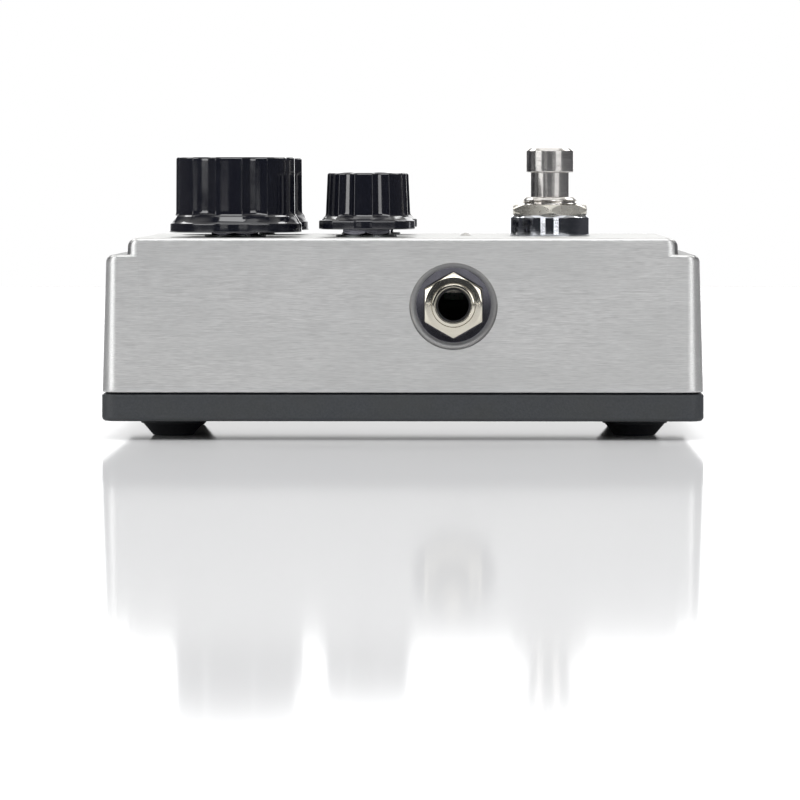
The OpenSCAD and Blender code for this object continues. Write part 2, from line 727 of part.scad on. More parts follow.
module big_knob(side) color("#17171a") translate([big_x, side * knob_spacing / 2, big_z0])
    knob(big_d, big_skirt_d, big_h, big_rim_h, big_shoulder_h, big_flute, knob_hollow_z - big_z0);
module small_knob(side) color("#17171a") translate([small_x, side * knob_spacing / 2, small_z0])
    knob(small_d, small_skirt_d, small_h, small_rim_h, small_shoulder_h, small_flute,
        knob_hollow_z - small_z0);

module big_insert(side) translate([big_x, side * knob_spacing / 2, 0])
    insert(big_z0, big_h, knob_hollow_z - big_z0);
module small_insert(side) translate([small_x, side * knob_spacing / 2, 0])
    insert(small_z0, small_h, knob_hollow_z - small_z0);

module big_set_screw(side) translate([big_x, side * knob_spacing / 2, 0]) set_screw(big_z0);
module small_set_screw(side) translate([small_x, side * knob_spacing / 2, 0]) set_screw(small_z0);

module big_shaft(side) translate([big_x, side * knob_spacing / 2, 0])
    shaft(big_z0 + big_h - knob_cap_t - 1);
module small_shaft(side) translate([small_x, side * knob_spacing / 2, 0])
    shaft(small_z0 + small_h - knob_cap_t - 1);

// ---- potentiometers ----

module pot_bore() {
    translate([0, 0, shaft_z0 - 0.2]) cylinder(h = shell_z1, d = shaft_d + 2 * shaft_clearance);
}

module pot_bushing() {
    translate([0, 0, ceiling_z - 1]) cylinder(h = top_t + pot_bushing_rise + 1, d = pot_bushing_d);
}

module big_pot(side) color("#a9abad") translate([big_x, side * knob_spacing / 2, 0]) difference() {
    union() {
        translate([0, 0, ceiling_z - big_pot_h]) cylinder(h = big_pot_h, d = big_pot_d);
        pot_bushing();
    }
    pot_bore();
}

module small_pot(side) color("#a9abad") translate([small_x, side * knob_spacing / 2, 0]) difference() {
    union() {
        translate([-small_pot_l / 2, -small_pot_w / 2, ceiling_z - small_pot_h])
            cube([small_pot_l, small_pot_w, small_pot_h]);
        pot_bushing();
    }
    pot_bore();
}

module pot_nuts() color("silver")
    at_pots(nut_z0) hex_nut(pot_nut_af, pot_nut_t, pot_bushing_d + 2 * fit_clearance, 30);

module pot_washers() color("silver")
    at_pots(shell_z1) ring(pot_washer_d, pot_bushing_d + hole_clearance, pot_washer_t);

// Three terminals under each potentiometer
module at_terminals(z) {
    for (side = sides, x = [big_x, small_x], k = [-1, 0, 1])
        translate([x + k * terminal_pitch, side * (knob_spacing / 2 - 2), z]) children();
}

module pot_terminals() color("#c8cacc") {
    z0 = board_z0 - terminal_stub;
    for (side = sides, k = [-1, 0, 1]) {
        translate([big_x + k * terminal_pitch, side * (knob_spacing / 2 - 2), z0])
            cylinder(h = ceiling_z - big_pot_h - z0, d = terminal_d);
        translate([small_x + k * terminal_pitch, side * (knob_spacing / 2 - 2), z0])
            cylinder(h = ceiling_z - small_pot_h - z0, d = terminal_d);
    }
}

// ---- footswitch ----

module switch_plunger() color("#d8dadd") translate([switch_x, 0, 0]) {
    translate([0, 0, plunger_z0]) cylinder(h = cap_z0 - plunger_z0 + eps, d = stem_d);
    translate([0, 0, cap_z0]) cylinder(h = cap_h - cap_chamfer, d = cap_d);
    translate([0, 0, plunger_z1 - cap_chamfer])
        cylinder(h = cap_chamfer, d1 = cap_d, d2 = cap_d - 2 * cap_chamfer);
}

module switch_spring() color("#b0b2b4") {
    steps = 14;
    coil_r = (spring_d - spring_wire) / 2;
    low = spring_z0 + spring_wire / 2;
    rise = spring_z1 - spring_wire - spring_z0;
    last = spring_turns * steps;
    coil = [for (i = [0:last])
        [coil_r * cos(360 * i / steps), coil_r * sin(360 * i / steps), low + rise * i / last]];
    translate([switch_x, 0, 0]) swept_tube(coil, spring_wire / 2, 6);
}

module switch_bushing() color("#cfd1d4") translate([switch_x, 0, frame_z1]) difference() {
    chamfer = 0.6;
    union() {
        cylinder(h = bushing_z1 - frame_z1 - chamfer, d = switch_bushing_d);
        translate([0, 0, bushing_z1 - frame_z1 - chamfer])
            cylinder(h = chamfer, d1 = switch_bushing_d, d2 = switch_bushing_d - 2 * chamfer);
    }
    translate([0, 0, -1]) cylinder(h = bushing_z1, d = stem_d + 2 * stem_clearance);
}

module switch_nut() color("#d3d5d8") translate([switch_x, 0, collar_z1])
    hex_nut(switch_nut_af, switch_nut_t, switch_bushing_d + 2 * fit_clearance, 30);

module switch_collar() color("#e2e4e7") translate([switch_x, 0, shell_z1]) difference() {
    union() {
        cylinder(h = collar_h - collar_chamfer, d = collar_d);
        translate([0, 0, collar_h - collar_chamfer])
            cylinder(h = collar_chamfer, d1 = collar_d, d2 = collar_d - 2 * collar_chamfer);
    }
    translate([0, 0, -1]) cylinder(h = collar_h + 2, d = switch_bushing_d + hole_clearance);
}

module switch_lock_nut() color("#c4c6c9") translate([switch_x, 0, lock_nut_z0])
    hex_nut(switch_nut_af, lock_nut_t, switch_bushing_d + 2 * fit_clearance);

module switch_lock_washer() color("#b4b6b9") translate([switch_x, 0, lock_washer_z0]) difference() {
    teeth = 12;
    ring(switch_nut_af, switch_bushing_d + hole_clearance, lock_washer_t);
    for (k = [0:teeth - 1]) rotate([0, 0, 360 * k / teeth])
        translate([switch_nut_af / 2, 0, -1]) cylinder(h = lock_washer_t + 2, d = 1.2);
}

// Plate over the case with a wing down each side
module switch_frame() color("#c2c4c6") translate([switch_x, 0, 0]) difference() {
    wing_h = 9;
    width = switch_w + 2 * fit_clearance + 2 * switch_frame_t;
    translate([-switch_w / 2, -width / 2, case_z1 - wing_h])
        cube([switch_w, width, wing_h + switch_frame_t]);
    translate([-switch_w, -switch_w / 2 - fit_clearance, case_z1 - wing_h - 1])
        cube([2 * switch_w, switch_w + 2 * fit_clearance, wing_h + 1]);
    translate([0, 0, case_z1 - 1]) cylinder(h = 3, d = stem_d + 2 * well_clearance);
}

module switch_case() color("#1f4f8f") translate([switch_x, 0, case_z0]) difference() {
    translate([-switch_w / 2, -switch_w / 2, 0]) cube([switch_w, switch_w, switch_case_h]);
    translate([0, 0, spring_z0 - case_z0]) cylinder(h = switch_case_h, d = case_well_d);
    translate([0, 0, plunger_z0 - plunger_travel - plunger_spare - case_z0])
        cylinder(h = switch_case_h, d = stem_d + 2 * well_clearance);
}

module at_lugs(z) {
    for (i = [-1:1], j = [-1:1]) translate([switch_x + i * lug_pitch, j * lug_pitch, z]) children();
}

module switch_lugs() color("#c9a14a")
    at_lugs(case_z0 - lug_l) translate([-0.9, -0.4, 0]) cube([1.8, 0.8, lug_l]);

module switch_board() color("#1d5a34") difference() {
    translate([switch_x - switch_w / 2, -switch_w / 2, switch_board_z1 - switch_board_t])
        cube([switch_w, switch_w, switch_board_t]);
    at_lugs(switch_board_z1 - switch_board_t - 1) cylinder(h = switch_board_t + 2, d = 2.1);
}

// ---- indicator lamp ----

module led_lens() color("#e9e4df") {
    dome_z = shell_z1 + led_rise - led_d / 2;
    base_z = shell_z1 + led_rise - led_l;
    translate([led_x, 0, 0]) {
        translate([0, 0, base_z]) cylinder(h = 1, d = led_d + 0.8);
        translate([0, 0, base_z]) cylinder(h = dome_z - base_z, d = led_d);
        intersection() {
            translate([0, 0, dome_z]) sphere(d = led_d);
            translate([0, 0, dome_z - eps]) cylinder(h = led_d, d = led_d);
        }
    }
}

module led_spacer() color("#202124")
    translate([led_x, 0, board_z1]) ring(led_d + 1.6, led_d - 0.4, shell_z1 + led_rise - led_l - board_z1);

module led_leads() color("#c8cacc") {
    z0 = board_z0 - terminal_stub;
    for (s = [-1, 1]) translate([led_x, s * 0.6, z0])
        cylinder(h = shell_z1 + led_rise - led_l - z0, d = 0.5);
}

// ---- audio jacks ----

// Housing behind the wall: a blind bore for the plug and a channel for the contact above it
module jack_body(side) color("#1c1c1f") mirror([0, side > 0 ? 0 : 1, 0]) difference() {
    translate([jack_x - jack_w / 2, jack_back_y, jack_z - jack_h / 2]) cube([jack_w, jack_depth, jack_h]);
    on_side(far, jack_x, jack_back_y + jack_back_t, jack_z)
        cylinder(h = jack_depth, d = jack_bore_d + 2 * hole_clearance);
    translate([jack_x - leaf_w / 2 - 0.6, jack_back_y - 1, jack_z])
        cube([leaf_w + 1.2, jack_depth - 5, jack_h / 2 - 1.5]);
}

module jack_bushing(side) color("#c8cacd") on_side(side, jack_x, jack_pad_y, jack_z) difference() {
    length = jack_face_y - jack_pad_y;
    chamfer = 0.3;
    union() {
        cylinder(h = length - chamfer, d = jack_bushing_d);
        translate([0, 0, length - chamfer])
            cylinder(h = chamfer, d1 = jack_bushing_d, d2 = jack_bushing_d - 2 * chamfer);
    }
    translate([0, 0, -1]) cylinder(h = length + 2, d = jack_bore_d);
    translate([0, 0, length - chamfer])
        cylinder(h = 2 * chamfer, d1 = jack_bore_d, d2 = jack_bore_d + 4 * chamfer);
}

module jack_nuts() color("#dcdee0")
    for (side = sides) on_side(side, jack_x, jack_washer_y, jack_z)
        hex_nut(jack_nut_af, jack_nut_t, jack_bushing_d + 2 * fit_clearance, 30);

module jack_washers() color("#2b2b2d")
    for (side = sides) on_side(side, jack_x, recess_y, jack_z)
        ring(jack_washer_d, jack_bushing_d + hole_clearance, jack_washer_t);

// Leaf springs above the plug's path, each with a lug that reaches the board
module jack_contacts() color("#c9b27a") {
    leaf_z = jack_z + jack_bore_d / 2 + 0.35;
    lug_z = board_z1 + 0.1;
    bend_y = jack_back_y + 2;
    leaf_l = jack_depth - 10;
    lug_l = bend_y - tongue_w / 2 + 2.5;
    for (side = sides) mirror([0, side > 0 ? 0 : 1, 0]) translate([jack_x - leaf_w / 2, bend_y, 0]) {
        translate([0, 0, leaf_z]) cube([leaf_w, leaf_l, leaf_t]);
        translate([0, 0, min(leaf_z, lug_z)]) cube([leaf_w, leaf_t, abs(leaf_z - lug_z) + leaf_t]);
        translate([0, -lug_l, lug_z]) cube([leaf_w, lug_l + leaf_t, leaf_t]);
    }
}

// ---- power jack ----

module dc_jack_body() color("#1b1b1d") difference() {
    union() {
        translate([dc_face_x, 0, dc_z]) rotate([0, 90, 0]) cylinder(h = 4, d = dc_hole_d - 0.3);
        translate([dc_body_x, -dc_w / 2, dc_z - dc_drop]) cube([dc_l, dc_w, 2 * dc_drop]);
    }
    translate([dc_face_x - 1, 0, dc_z]) rotate([0, 90, 0]) cylinder(h = 10, d = dc_bore_d);
}

module dc_jack_pin() color("#d5d7da")
    translate([dc_face_x + 1, 0, dc_z]) rotate([0, 90, 0]) cylinder(h = 8, d = dc_pin_d);

// ---- circuit board ----

module main_board() color("#1d5a34") difference() {
    translate([0, 0, board_z0]) linear_extrude(board_t) difference() {
        union() {
            translate([board_x0, -board_w / 2]) square([board_x1 - board_x0, board_w]);
            translate([board_x1 - 1, -tongue_w / 2]) square([tongue_x1 - board_x1 + 1, tongue_w]);
            for (side = sides) translate([board_x1 - 1, side > 0 ? arm_y : -tongue_w / 2])
                square([arm_x1 - board_x1 + 1, tongue_w / 2 - arm_y]);
        }
        for (side = sides) translate([board_x0 - 1, side > 0 ? notch_y : -board_w])
            square([notch_x - board_x0 + 1, board_w - notch_y]);
    }
    at_terminals(board_z0 - 1) cylinder(h = board_t + 2, d = terminal_d + 0.2);
    for (s = [-1, 1]) translate([led_x, s * 0.6, board_z0 - 1]) cylinder(h = board_t + 2, d = 0.7);
}

// Hangs its children under the board, at places counted from the tray's -X end
module under_board(places, drop) {
    for (place = places) translate([place[0] - base_l / 2, place[1], board_z0 - drop]) children();
}

// Chips in eight-pin cases
module chips() color("#1a1a1c")
    under_board(chip_places, chip_h) {
        translate([-chip_l / 2, -chip_w / 2, 0]) cube([chip_l, chip_w, chip_h]);
        for (k = [-1.5:1.5], s = [-1, 1])
            translate([k * 2.54 - 0.3, s * (chip_w / 2 + 0.45) - 0.5, 1.4]) cube([0.6, 1, chip_h - 1.4]);
    }

module electrolytics() color("#23324f")
    under_board(electrolytic_places, electrolytic_h) cylinder(h = electrolytic_h, d = electrolytic_d);

module film_caps() color("#8e2f24")
    under_board(film_places, film_h) translate([-film_t / 2, -film_l / 2, 0]) cube([film_t, film_l, film_h]);

module resistors() color("#c7b48a") {
    span = resistor_l + 3;
    lead = 0.5;
    drop = resistor_d / 2 + 0.8;
    under_board(resistor_columns, drop) for (k = [1:resistors_in_column])
        translate([0, (k - (resistors_in_column + 1) / 2) * resistor_pitch, 0]) {
            translate([-resistor_l / 2, 0, 0]) rotate([0, 90, 0]) cylinder(h = resistor_l, d = resistor_d);
            translate([-span / 2, 0, 0]) rotate([0, 90, 0]) cylinder(h = span, d = lead);
            for (s = [-1, 1]) translate([s * (span - lead) / 2, 0, 0]) cylinder(h = drop, d = lead);
        }
}

// Flat cable from the board's tongue down and round to the switch's board
module ribbon_cable() color("#b9bcc2") {
    x0 = tongue_x1 - cable_inset;
    x1 = switch_x - switch_w / 2 + cable_inset;
    bend_r = (x1 - x0) / 2;
    bend_z = switch_board_z1 - switch_board_t - 3;
    rotate([90, 0, 0]) linear_extrude(cable_w, center = true) {
        translate([x0 - cable_t / 2, bend_z]) square([cable_t, board_z0 - bend_z]);
        translate([x1 - cable_t / 2, bend_z]) square([cable_t, switch_board_z1 - switch_board_t - bend_z]);
        translate([x0 + bend_r, bend_z]) intersection() {
            difference() {
                circle(bend_r + cable_t / 2);
                circle(bend_r - cable_t / 2);
            }
            translate([-2 * bend_r, -4 * bend_r]) square([4 * bend_r, 4 * bend_r]);
        }
    }
}

// ---- battery ----

// Places its children at the battery's two snaps, with +Z along the battery
module at_snaps(y) {
    for (s = [-1, 1])
        translate([(battery_x0 + battery_x1) / 2, y, battery_z0 + battery_h / 2 + s * snap_spacing / 2])
            rotate([-90, 0, 0]) children();
}

module battery() color("#3a3f46") {
    translate([battery_x0, -battery_l / 2, battery_z0]) cube([battery_t, battery_body_l, battery_h]);
    at_snaps(battery_y1 - eps) cylinder(h = snap_l, d = snap_d);
}

module battery_clip() color("#151517") difference() {
    translate([battery_x0 + 2.5, battery_y1 + 0.6, battery_z0 + 1])
        cube([battery_t - 5, clip_t + 1, battery_h - 2]);
    at_snaps(battery_y1 - 1) cylinder(h = snap_l + 1.2, d = snap_d + 0.2);
}

module battery_pad() color("#2a2a2c")
    translate([battery_x0, 2 - battery_l / 2, floor_z]) cube([battery_t, battery_body_l - 4, pad_t]);

// Two leads from the clip, round the switch and under the jack, up to the board
module battery_leads() color("#9c2b22") {
    exit_x = battery_x0 + 2.5;
    exit_y = battery_y1 + 0.6 + clip_t / 2 - 0.3;
    exit_z = battery_z0 + 5;
    spacing = lead_d + 0.4;
    route = concat(
        [for (point = lead_run) [exit_x + point[0] * (jack_x - exit_x), point[1], floor_z + point[2]]],
        [for (point = lead_rise) [jack_x - point[0], point[1], floor_z + point[2]]]);
    foot = route[len(route) - 1];
    for (k = [0, 1]) {
        shift = [0, spacing * k, 0];
        start = [exit_x, exit_y + spacing * k / 2, exit_z + spacing * k];
        swept_tube(concat([start, start - [3, 0, 0]], [for (point = route) point + shift],
            [[foot[0], foot[1], board_z0] + shift]), lead_d / 2, 8);
    }
}

shell();
base_plate();
base_screws();
feet();
big_knob(near);  // knob_big_near
big_knob(far);  // knob_big_far
small_knob(near);  // knob_small_near
small_knob(far);  // knob_small_far
big_insert(near);  // insert_big_near
big_insert(far);  // insert_big_far
small_insert(near);  // insert_small_near
small_insert(far);  // insert_small_far
big_set_screw(near);  // set_screw_big_near
big_set_screw(far);  // set_screw_big_far
small_set_screw(near);  // set_screw_small_near
small_set_screw(far);  // set_screw_small_far
big_shaft(near);  // shaft_big_near
big_shaft(far);  // shaft_big_far
small_shaft(near);  // shaft_small_near
small_shaft(far);  // shaft_small_far
big_pot(near);  // pot_big_near
big_pot(far);  // pot_big_far
small_pot(near);  // pot_small_near
small_pot(far);  // pot_small_far
pot_nuts();
pot_washers();
pot_terminals();
switch_plunger();
switch_spring();
switch_bushing();
switch_nut();
switch_collar();
switch_lock_nut();
switch_lock_washer();
switch_frame();
switch_case();
switch_lugs();
switch_board();
led_lens();
led_spacer();
led_leads();
jack_body(near);  // output_jack_body
jack_bushing(near);  // output_jack_bushing
jack_body(far);  // input_jack_body
jack_bushing(far);  // input_jack_bushing
jack_nuts();
jack_washers();
jack_contacts();
dc_jack_body();
dc_jack_pin();
main_board();
chips();
electrolytics();
film_caps();
resistors();
ribbon_cable();
battery();
battery_clip();
battery_pad();
battery_leads();
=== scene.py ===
# %% [markdown]
# # A guitar effects pedal
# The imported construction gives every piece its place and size. This notebook dresses it: turned
# and fluted knobs, a brushed shell, threaded and chamfered hardware, and a finish for each
# surface, inside and out. Lengths are in metres, and a size named in millimetres is multiplied
# by MM where it is used.

# %% Load the construction
import math

import bmesh
import bpy
from mathutils import Euler, Matrix, Vector


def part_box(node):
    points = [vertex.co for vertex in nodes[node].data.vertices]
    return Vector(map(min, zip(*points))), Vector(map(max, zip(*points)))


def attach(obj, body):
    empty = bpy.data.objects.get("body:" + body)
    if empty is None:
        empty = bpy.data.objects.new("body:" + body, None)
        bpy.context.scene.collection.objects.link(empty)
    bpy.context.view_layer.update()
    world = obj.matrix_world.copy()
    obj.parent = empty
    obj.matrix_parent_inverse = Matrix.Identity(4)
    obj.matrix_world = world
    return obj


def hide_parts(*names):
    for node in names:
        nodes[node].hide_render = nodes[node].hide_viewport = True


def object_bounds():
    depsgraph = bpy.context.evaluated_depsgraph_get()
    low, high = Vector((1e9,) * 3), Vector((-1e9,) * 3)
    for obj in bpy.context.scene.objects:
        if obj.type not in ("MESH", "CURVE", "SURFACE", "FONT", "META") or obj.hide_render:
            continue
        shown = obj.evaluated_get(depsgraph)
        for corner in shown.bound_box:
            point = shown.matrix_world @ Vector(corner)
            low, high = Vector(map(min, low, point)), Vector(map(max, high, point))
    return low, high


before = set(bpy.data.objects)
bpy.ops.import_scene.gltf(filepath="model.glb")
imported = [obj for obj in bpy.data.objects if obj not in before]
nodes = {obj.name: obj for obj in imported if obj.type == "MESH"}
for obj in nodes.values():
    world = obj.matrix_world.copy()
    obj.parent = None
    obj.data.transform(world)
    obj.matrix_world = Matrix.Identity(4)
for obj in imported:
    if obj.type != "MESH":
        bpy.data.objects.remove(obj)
cad_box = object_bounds()
MM = 0.001
NEAR, FAR = -1, 1
cad_size = Vector(cad_box[1]) - Vector(cad_box[0])
print("construction:", len(nodes), "nodes, size", [round(v / MM, 1) for v in cad_size])

# %% [markdown]
# ## Camera
# The pedal is seen square on from one long side by a long lens, a metre away and a little above
# the knobs' tops, so its upright lines stay parallel and the top shows as a thin strip.

# %% The camera
CAMERA_AT = Vector((13.0, -1005.6, 54.65)) * MM
CAMERA_YAW = -0.01403     # radians, to the right
CAMERA_PITCH = -0.0479    # radians, up
LENS_MM = 206.8

camera_data = bpy.data.cameras.new("camera")
camera_data.lens = LENS_MM
camera_data.sensor_width = 36
camera_data.clip_start = 0.01
camera = bpy.data.objects.new("camera", camera_data)
camera.location = CAMERA_AT
camera.rotation_euler = Euler((math.pi / 2 + CAMERA_PITCH, 0, -CAMERA_YAW))
bpy.context.scene.collection.objects.link(camera)
bpy.context.scene.camera = camera
print("camera at", [round(v / MM) for v in CAMERA_AT], "mm")

# %% [markdown]
# ## Helpers for meshes
# Most of the hardware was turned on a lathe, so one helper spins an outline of radius and height
# into a closed mesh. Another stacks rounded rectangles into a cast block. Booleans cut the holes,
# as a drill would, and every piece ends as a plain mesh with its place in its vertices.

# %% Mesh helpers
def new_object(name, mesh):
    piece = bpy.data.objects.new(name, mesh)
    bpy.context.scene.collection.objects.link(piece)
    return piece


def from_points(name, points, faces):
    """Closed mesh in metres from points in millimetres, with its faces pointing outwards."""
    mesh = bpy.data.meshes.new(name)
    mesh.from_pydata([Vector(p) * MM for p in points], [], faces)
    work = bmesh.new()
    work.from_mesh(mesh)
    bmesh.ops.remove_doubles(work, verts=work.verts, dist=1e-7)
    bmesh.ops.recalc_face_normals(work, faces=work.faces)
    work.to_mesh(mesh)
    work.free()
    return new_object(name, mesh)


def arc(cx, cz, radius, start, end, steps):
    """Points of an arc in the plane of radius and height, with its angles in degrees."""
    angles = [math.radians(start + (end - start) * i / steps) for i in range(steps + 1)]
    return [(cx + radius * math.cos(a), cz + radius * math.sin(a)) for a in angles]


def turned(name, outline, angles=96, weights=None):
    """Spins an outline of (radius, height) round Z. An outline that starts or ends off the axis is closed
    into a ring. angles is a count or a list in degrees, and weights gives named values per outline point."""
    if isinstance(angles, int):
        angles = [360 * i / angles for i in range(angles)]
    columns = len(angles)
    points, row_start, point_row = [], [], []
    for row, (radius, height) in enumerate(outline):
        row_start.append(len(points))
        if radius < 1e-6:
            points.append((0, 0, height))
            point_row.append(row)
            continue
        for angle in angles:
            a = math.radians(angle)
            points.append((radius * math.cos(a), radius * math.sin(a), height))
            point_row.append(row)
    rows = list(range(len(outline) - 1))
    pairs = [(r, r + 1) for r in rows]
    if outline[0][0] > 1e-6 and outline[-1][0] > 1e-6:
        pairs.append((len(outline) - 1, 0))
    faces = []
    for low, high in pairs:
        low_pole, high_pole = outline[low][0] < 1e-6, outline[high][0] < 1e-6
        for k in range(columns):
            n = (k + 1) % columns
            a, b = row_start[low] + (0 if low_pole else k), row_start[low] + (0 if low_pole else n)
            c, d = row_start[high] + (0 if high_pole else n), row_start[high] + (0 if high_pole else k)
            if low_pole and high_pole:
                continue
            faces.append([a, c, d] if low_pole else [a, b, c] if high_pole else [a, b, c, d])
    mesh = bpy.data.meshes.new(name)
    mesh.from_pydata([Vector(p) * MM for p in points], [], faces)
    for label, values in (weights or {}).items():
        layer = mesh.attributes.new(label, "FLOAT", "POINT")
        for i, row in enumerate(point_row):
            layer.data[i].value = values[row]
    work = bmesh.new()
    work.from_mesh(mesh)
    bmesh.ops.recalc_face_normals(work, faces=work.faces)
    work.to_mesh(mesh)
    work.free()
    return new_object(name, mesh)


def block(name, half_x, half_y, corner, levels, steps=8):
    """Cast block: rounded rectangles stacked by (height, inset along X, inset along Y), in millimetres."""
    points = []
    for height, inset_x, inset_y in levels:
        for quarter in range(4):
            sx, sy = (1, 1, -1, -1)[quarter], (-1, 1, 1, -1)[quarter]
            for i in range(steps + 1):
                a = math.radians(-90 + 90 * quarter + 90 * i / steps)
                points.append((sx * (half_x - corner) + (corner - inset_x) * math.cos(a),
                               sy * (half_y - corner) + (corner - inset_y) * math.sin(a), height))
    ring = 4 * (steps + 1)
    faces = [[r * ring + k, r * ring + (k + 1) % ring, (r + 1) * ring + (k + 1) % ring, (r + 1) * ring + k]
             for r in range(len(levels) - 1) for k in range(ring)]
    faces.append(list(range(ring))[::-1])
    faces.append([(len(levels) - 1) * ring + k for k in range(ring)])
    return from_points(name, points, faces)


def settle(piece):
    """Turns a piece's live modifiers into its mesh."""
    graph = bpy.context.evaluated_depsgraph_get()
    mesh = bpy.data.meshes.new_from_object(piece.evaluated_get(graph), preserve_all_data_layers=True,
                                           depsgraph=graph)
    piece.modifiers.clear()
    piece.data = mesh
    return piece


def combine(piece, other, operation="DIFFERENCE"):
    """Cuts, joins or intersects a piece with another, which is used up."""
    modifier = piece.modifiers.new("combine", "BOOLEAN")
    modifier.operation = operation
    modifier.solver = "EXACT"
    modifier.object = other
    settle(piece)
    bpy.data.objects.remove(other)
    return piece


def move(piece, matrix):
    piece.data.transform(matrix)
    if matrix.determinant() < 0:
        piece.data.flip_normals()
    return piece


def shift(x, y, z):
    return Matrix.Translation(Vector((x, y, z)) * MM)


def shade(piece, angle=32, weighted=True):
    """Smooth shading with creases where faces meet at more than the angle."""
    piece.data.polygons.foreach_set("use_smooth", [True] * len(piece.data.polygons))
    piece.data.set_sharp_from_angle(angle=math.radians(angle))
    if weighted:
        modifier = piece.modifiers.new("normals", "WEIGHTED_NORMAL")
        modifier.keep_sharp = True
        modifier.weight = 90
        settle(piece)
    return piece


def cylinder(name, radius, z0, z1, steps=64):
    return turned(name, [(0, z0), (radius, z0), (radius, z1), (0, z1)], steps)


def outwards(side, x, y, z):
    """Placement on a long side wall: the piece's +Z points out of the wall, and its +Y up."""
    turn = Matrix.Rotation(math.pi if side == FAR else 0, 4, "Z") @ Matrix.Rotation(math.pi / 2, 4, "X")
    return shift(x, y, z) @ turn


def dress(piece, node, body, material):
    """Hands a finished piece to the frame in place of a construction node."""
    piece.data.materials.clear()
    piece.data.materials.append(material)
    if body:
        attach(piece, body)
    if node:
        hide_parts(*([node] if isinstance(node, str) else node))
    print(f"{piece.name}: {len(piece.data.polygons)} faces")
    return piece

# %% [markdown]
# ## Helpers for materials
# Every finish starts from the real one: its base colour as an sRGB hex value, a typical roughness
# and metallic value, and patterns whose scale is worked out from a size in millimetres. One small
# function adds a node and another starts a material. The others are steps that finishes share: a
# cloudy grain, tones that follow a pattern, a value that varies with one, and relief.

# %% Material helpers
FACTOR, FIRST, SECOND, MIXED = 0, 6, 7, 2    # a Mix node's sockets when it mixes colours


def colour(code):
    """sRGB hex colour as linear RGBA."""
    parts = [int(code[i:i + 2], 16) / 255 for i in (1, 3, 5)]
    return [p / 12.92 if p <= 0.04045 else ((p + 0.055) / 1.055) ** 2.4 for p in parts] + [1.0]


def add(tree, kind, sockets=None, **settings):
    """Adds a node. sockets maps an input's name or number to a value, a hex colour or an output."""
    node = tree.nodes.new(kind)
    for name, value in settings.items():
        setattr(node, name, value)
    for name, value in (sockets or {}).items():
        if isinstance(value, bpy.types.NodeSocket):
            tree.links.new(value, node.inputs[name])
        else:
            is_hex = isinstance(value, str) and value.startswith("#")
            node.inputs[name].default_value = colour(value) if is_hex else value
    return node


def start_material(name, base, roughness, metallic=0.0, **sockets):
    """A named material with its plain values on the shader; returns it, its tree and its shader."""
    material = bpy.data.materials.new(name)
    material.use_nodes = True
    tree = material.node_tree
    shader = tree.nodes["Principled BSDF"]
    shader.inputs["Base Color"].default_value = colour(base)
    shader.inputs["Roughness"].default_value = roughness
    shader.inputs["Metallic"].default_value = metallic
    for label, value in sockets.items():
        shader.inputs[label.replace("_", " ")].default_value = value
    return material, tree, shader


def place_on(tree, size_mm):
    """Object coordinates scaled so that one unit is size_mm, a number or one for each axis."""
    size = (size_mm,) * 3 if isinstance(size_mm, (int, float)) else size_mm
    where = add(tree, "ShaderNodeTexCoord").outputs["Object"]
    return add(tree, "ShaderNodeMapping", {"Vector": where, "Scale": [1 / (s * MM) for s in size]}).outputs[0]


def grain(tree, size_mm, detail=2.0, roughness=0.5):
    """Cloudy pattern from 0 to 1 with lumps of size_mm, a number or one for each axis."""
    return add(tree, "ShaderNodeTexNoise", {"Vector": place_on(tree, size_mm), "Scale": 1.0, "Detail": detail,
                                            "Roughness": roughness}).outputs["Fac"]


def tones(tree, pattern, low, high, most, first, second):
    """Colour that goes from first towards second, by most of the way, as a pattern goes from low to high."""
    share = add(tree, "ShaderNodeMapRange", {0: pattern, 1: low, 2: high, 3: 0, 4: most}).outputs[0]
    return add(tree, "ShaderNodeMix", {FACTOR: share, FIRST: first, SECOND: second},
               data_type="RGBA").outputs[MIXED]


def feed(tree, shader, **sockets):
    for label, value in sockets.items():
        tree.links.new(value, shader.inputs[label.replace("_", " ")])


def vary_roughness(tree, shader, pattern, low, high, smooth, rough):
    """Roughness that goes from smooth to rough as a pattern goes from low to high."""
    ranged = add(tree, "ShaderNodeMapRange", {0: pattern, 1: low, 2: high, 3: smooth, 4: rough})
    feed(tree, shader, Roughness=ranged.outputs[0])


def relief(tree, shader, height, depth_mm, strength=1.0):
    """Bump whose full range of height is depth_mm."""
    bump = add(tree, "ShaderNodeBump", {"Height": height, "Distance": depth_mm * MM, "Strength": strength})
    feed(tree, shader, Normal=bump.outputs[0])


def grained(name, base, dark, pale, size_mm, roughness, spread, depth_mm, strength, detail=2.0, grit=0.5,
            metallic=0.0):
    """A finish with one fine grain, which varies its tone, its roughness and its height."""
    material, tree, shader = start_material(name, base, roughness, metallic)
    skin = grain(tree, size_mm, detail, grit)
    tone = add(tree, "ShaderNodeMix", {FACTOR: skin, FIRST: dark, SECOND: pale}, data_type="RGBA")
    feed(tree, shader, Base_Color=tone.outputs[MIXED])
    vary_roughness(tree, shader, skin, 0.3, 0.7, *spread)
    relief(tree, shader, skin, depth_mm, strength)
    return material


print("helpers ready")
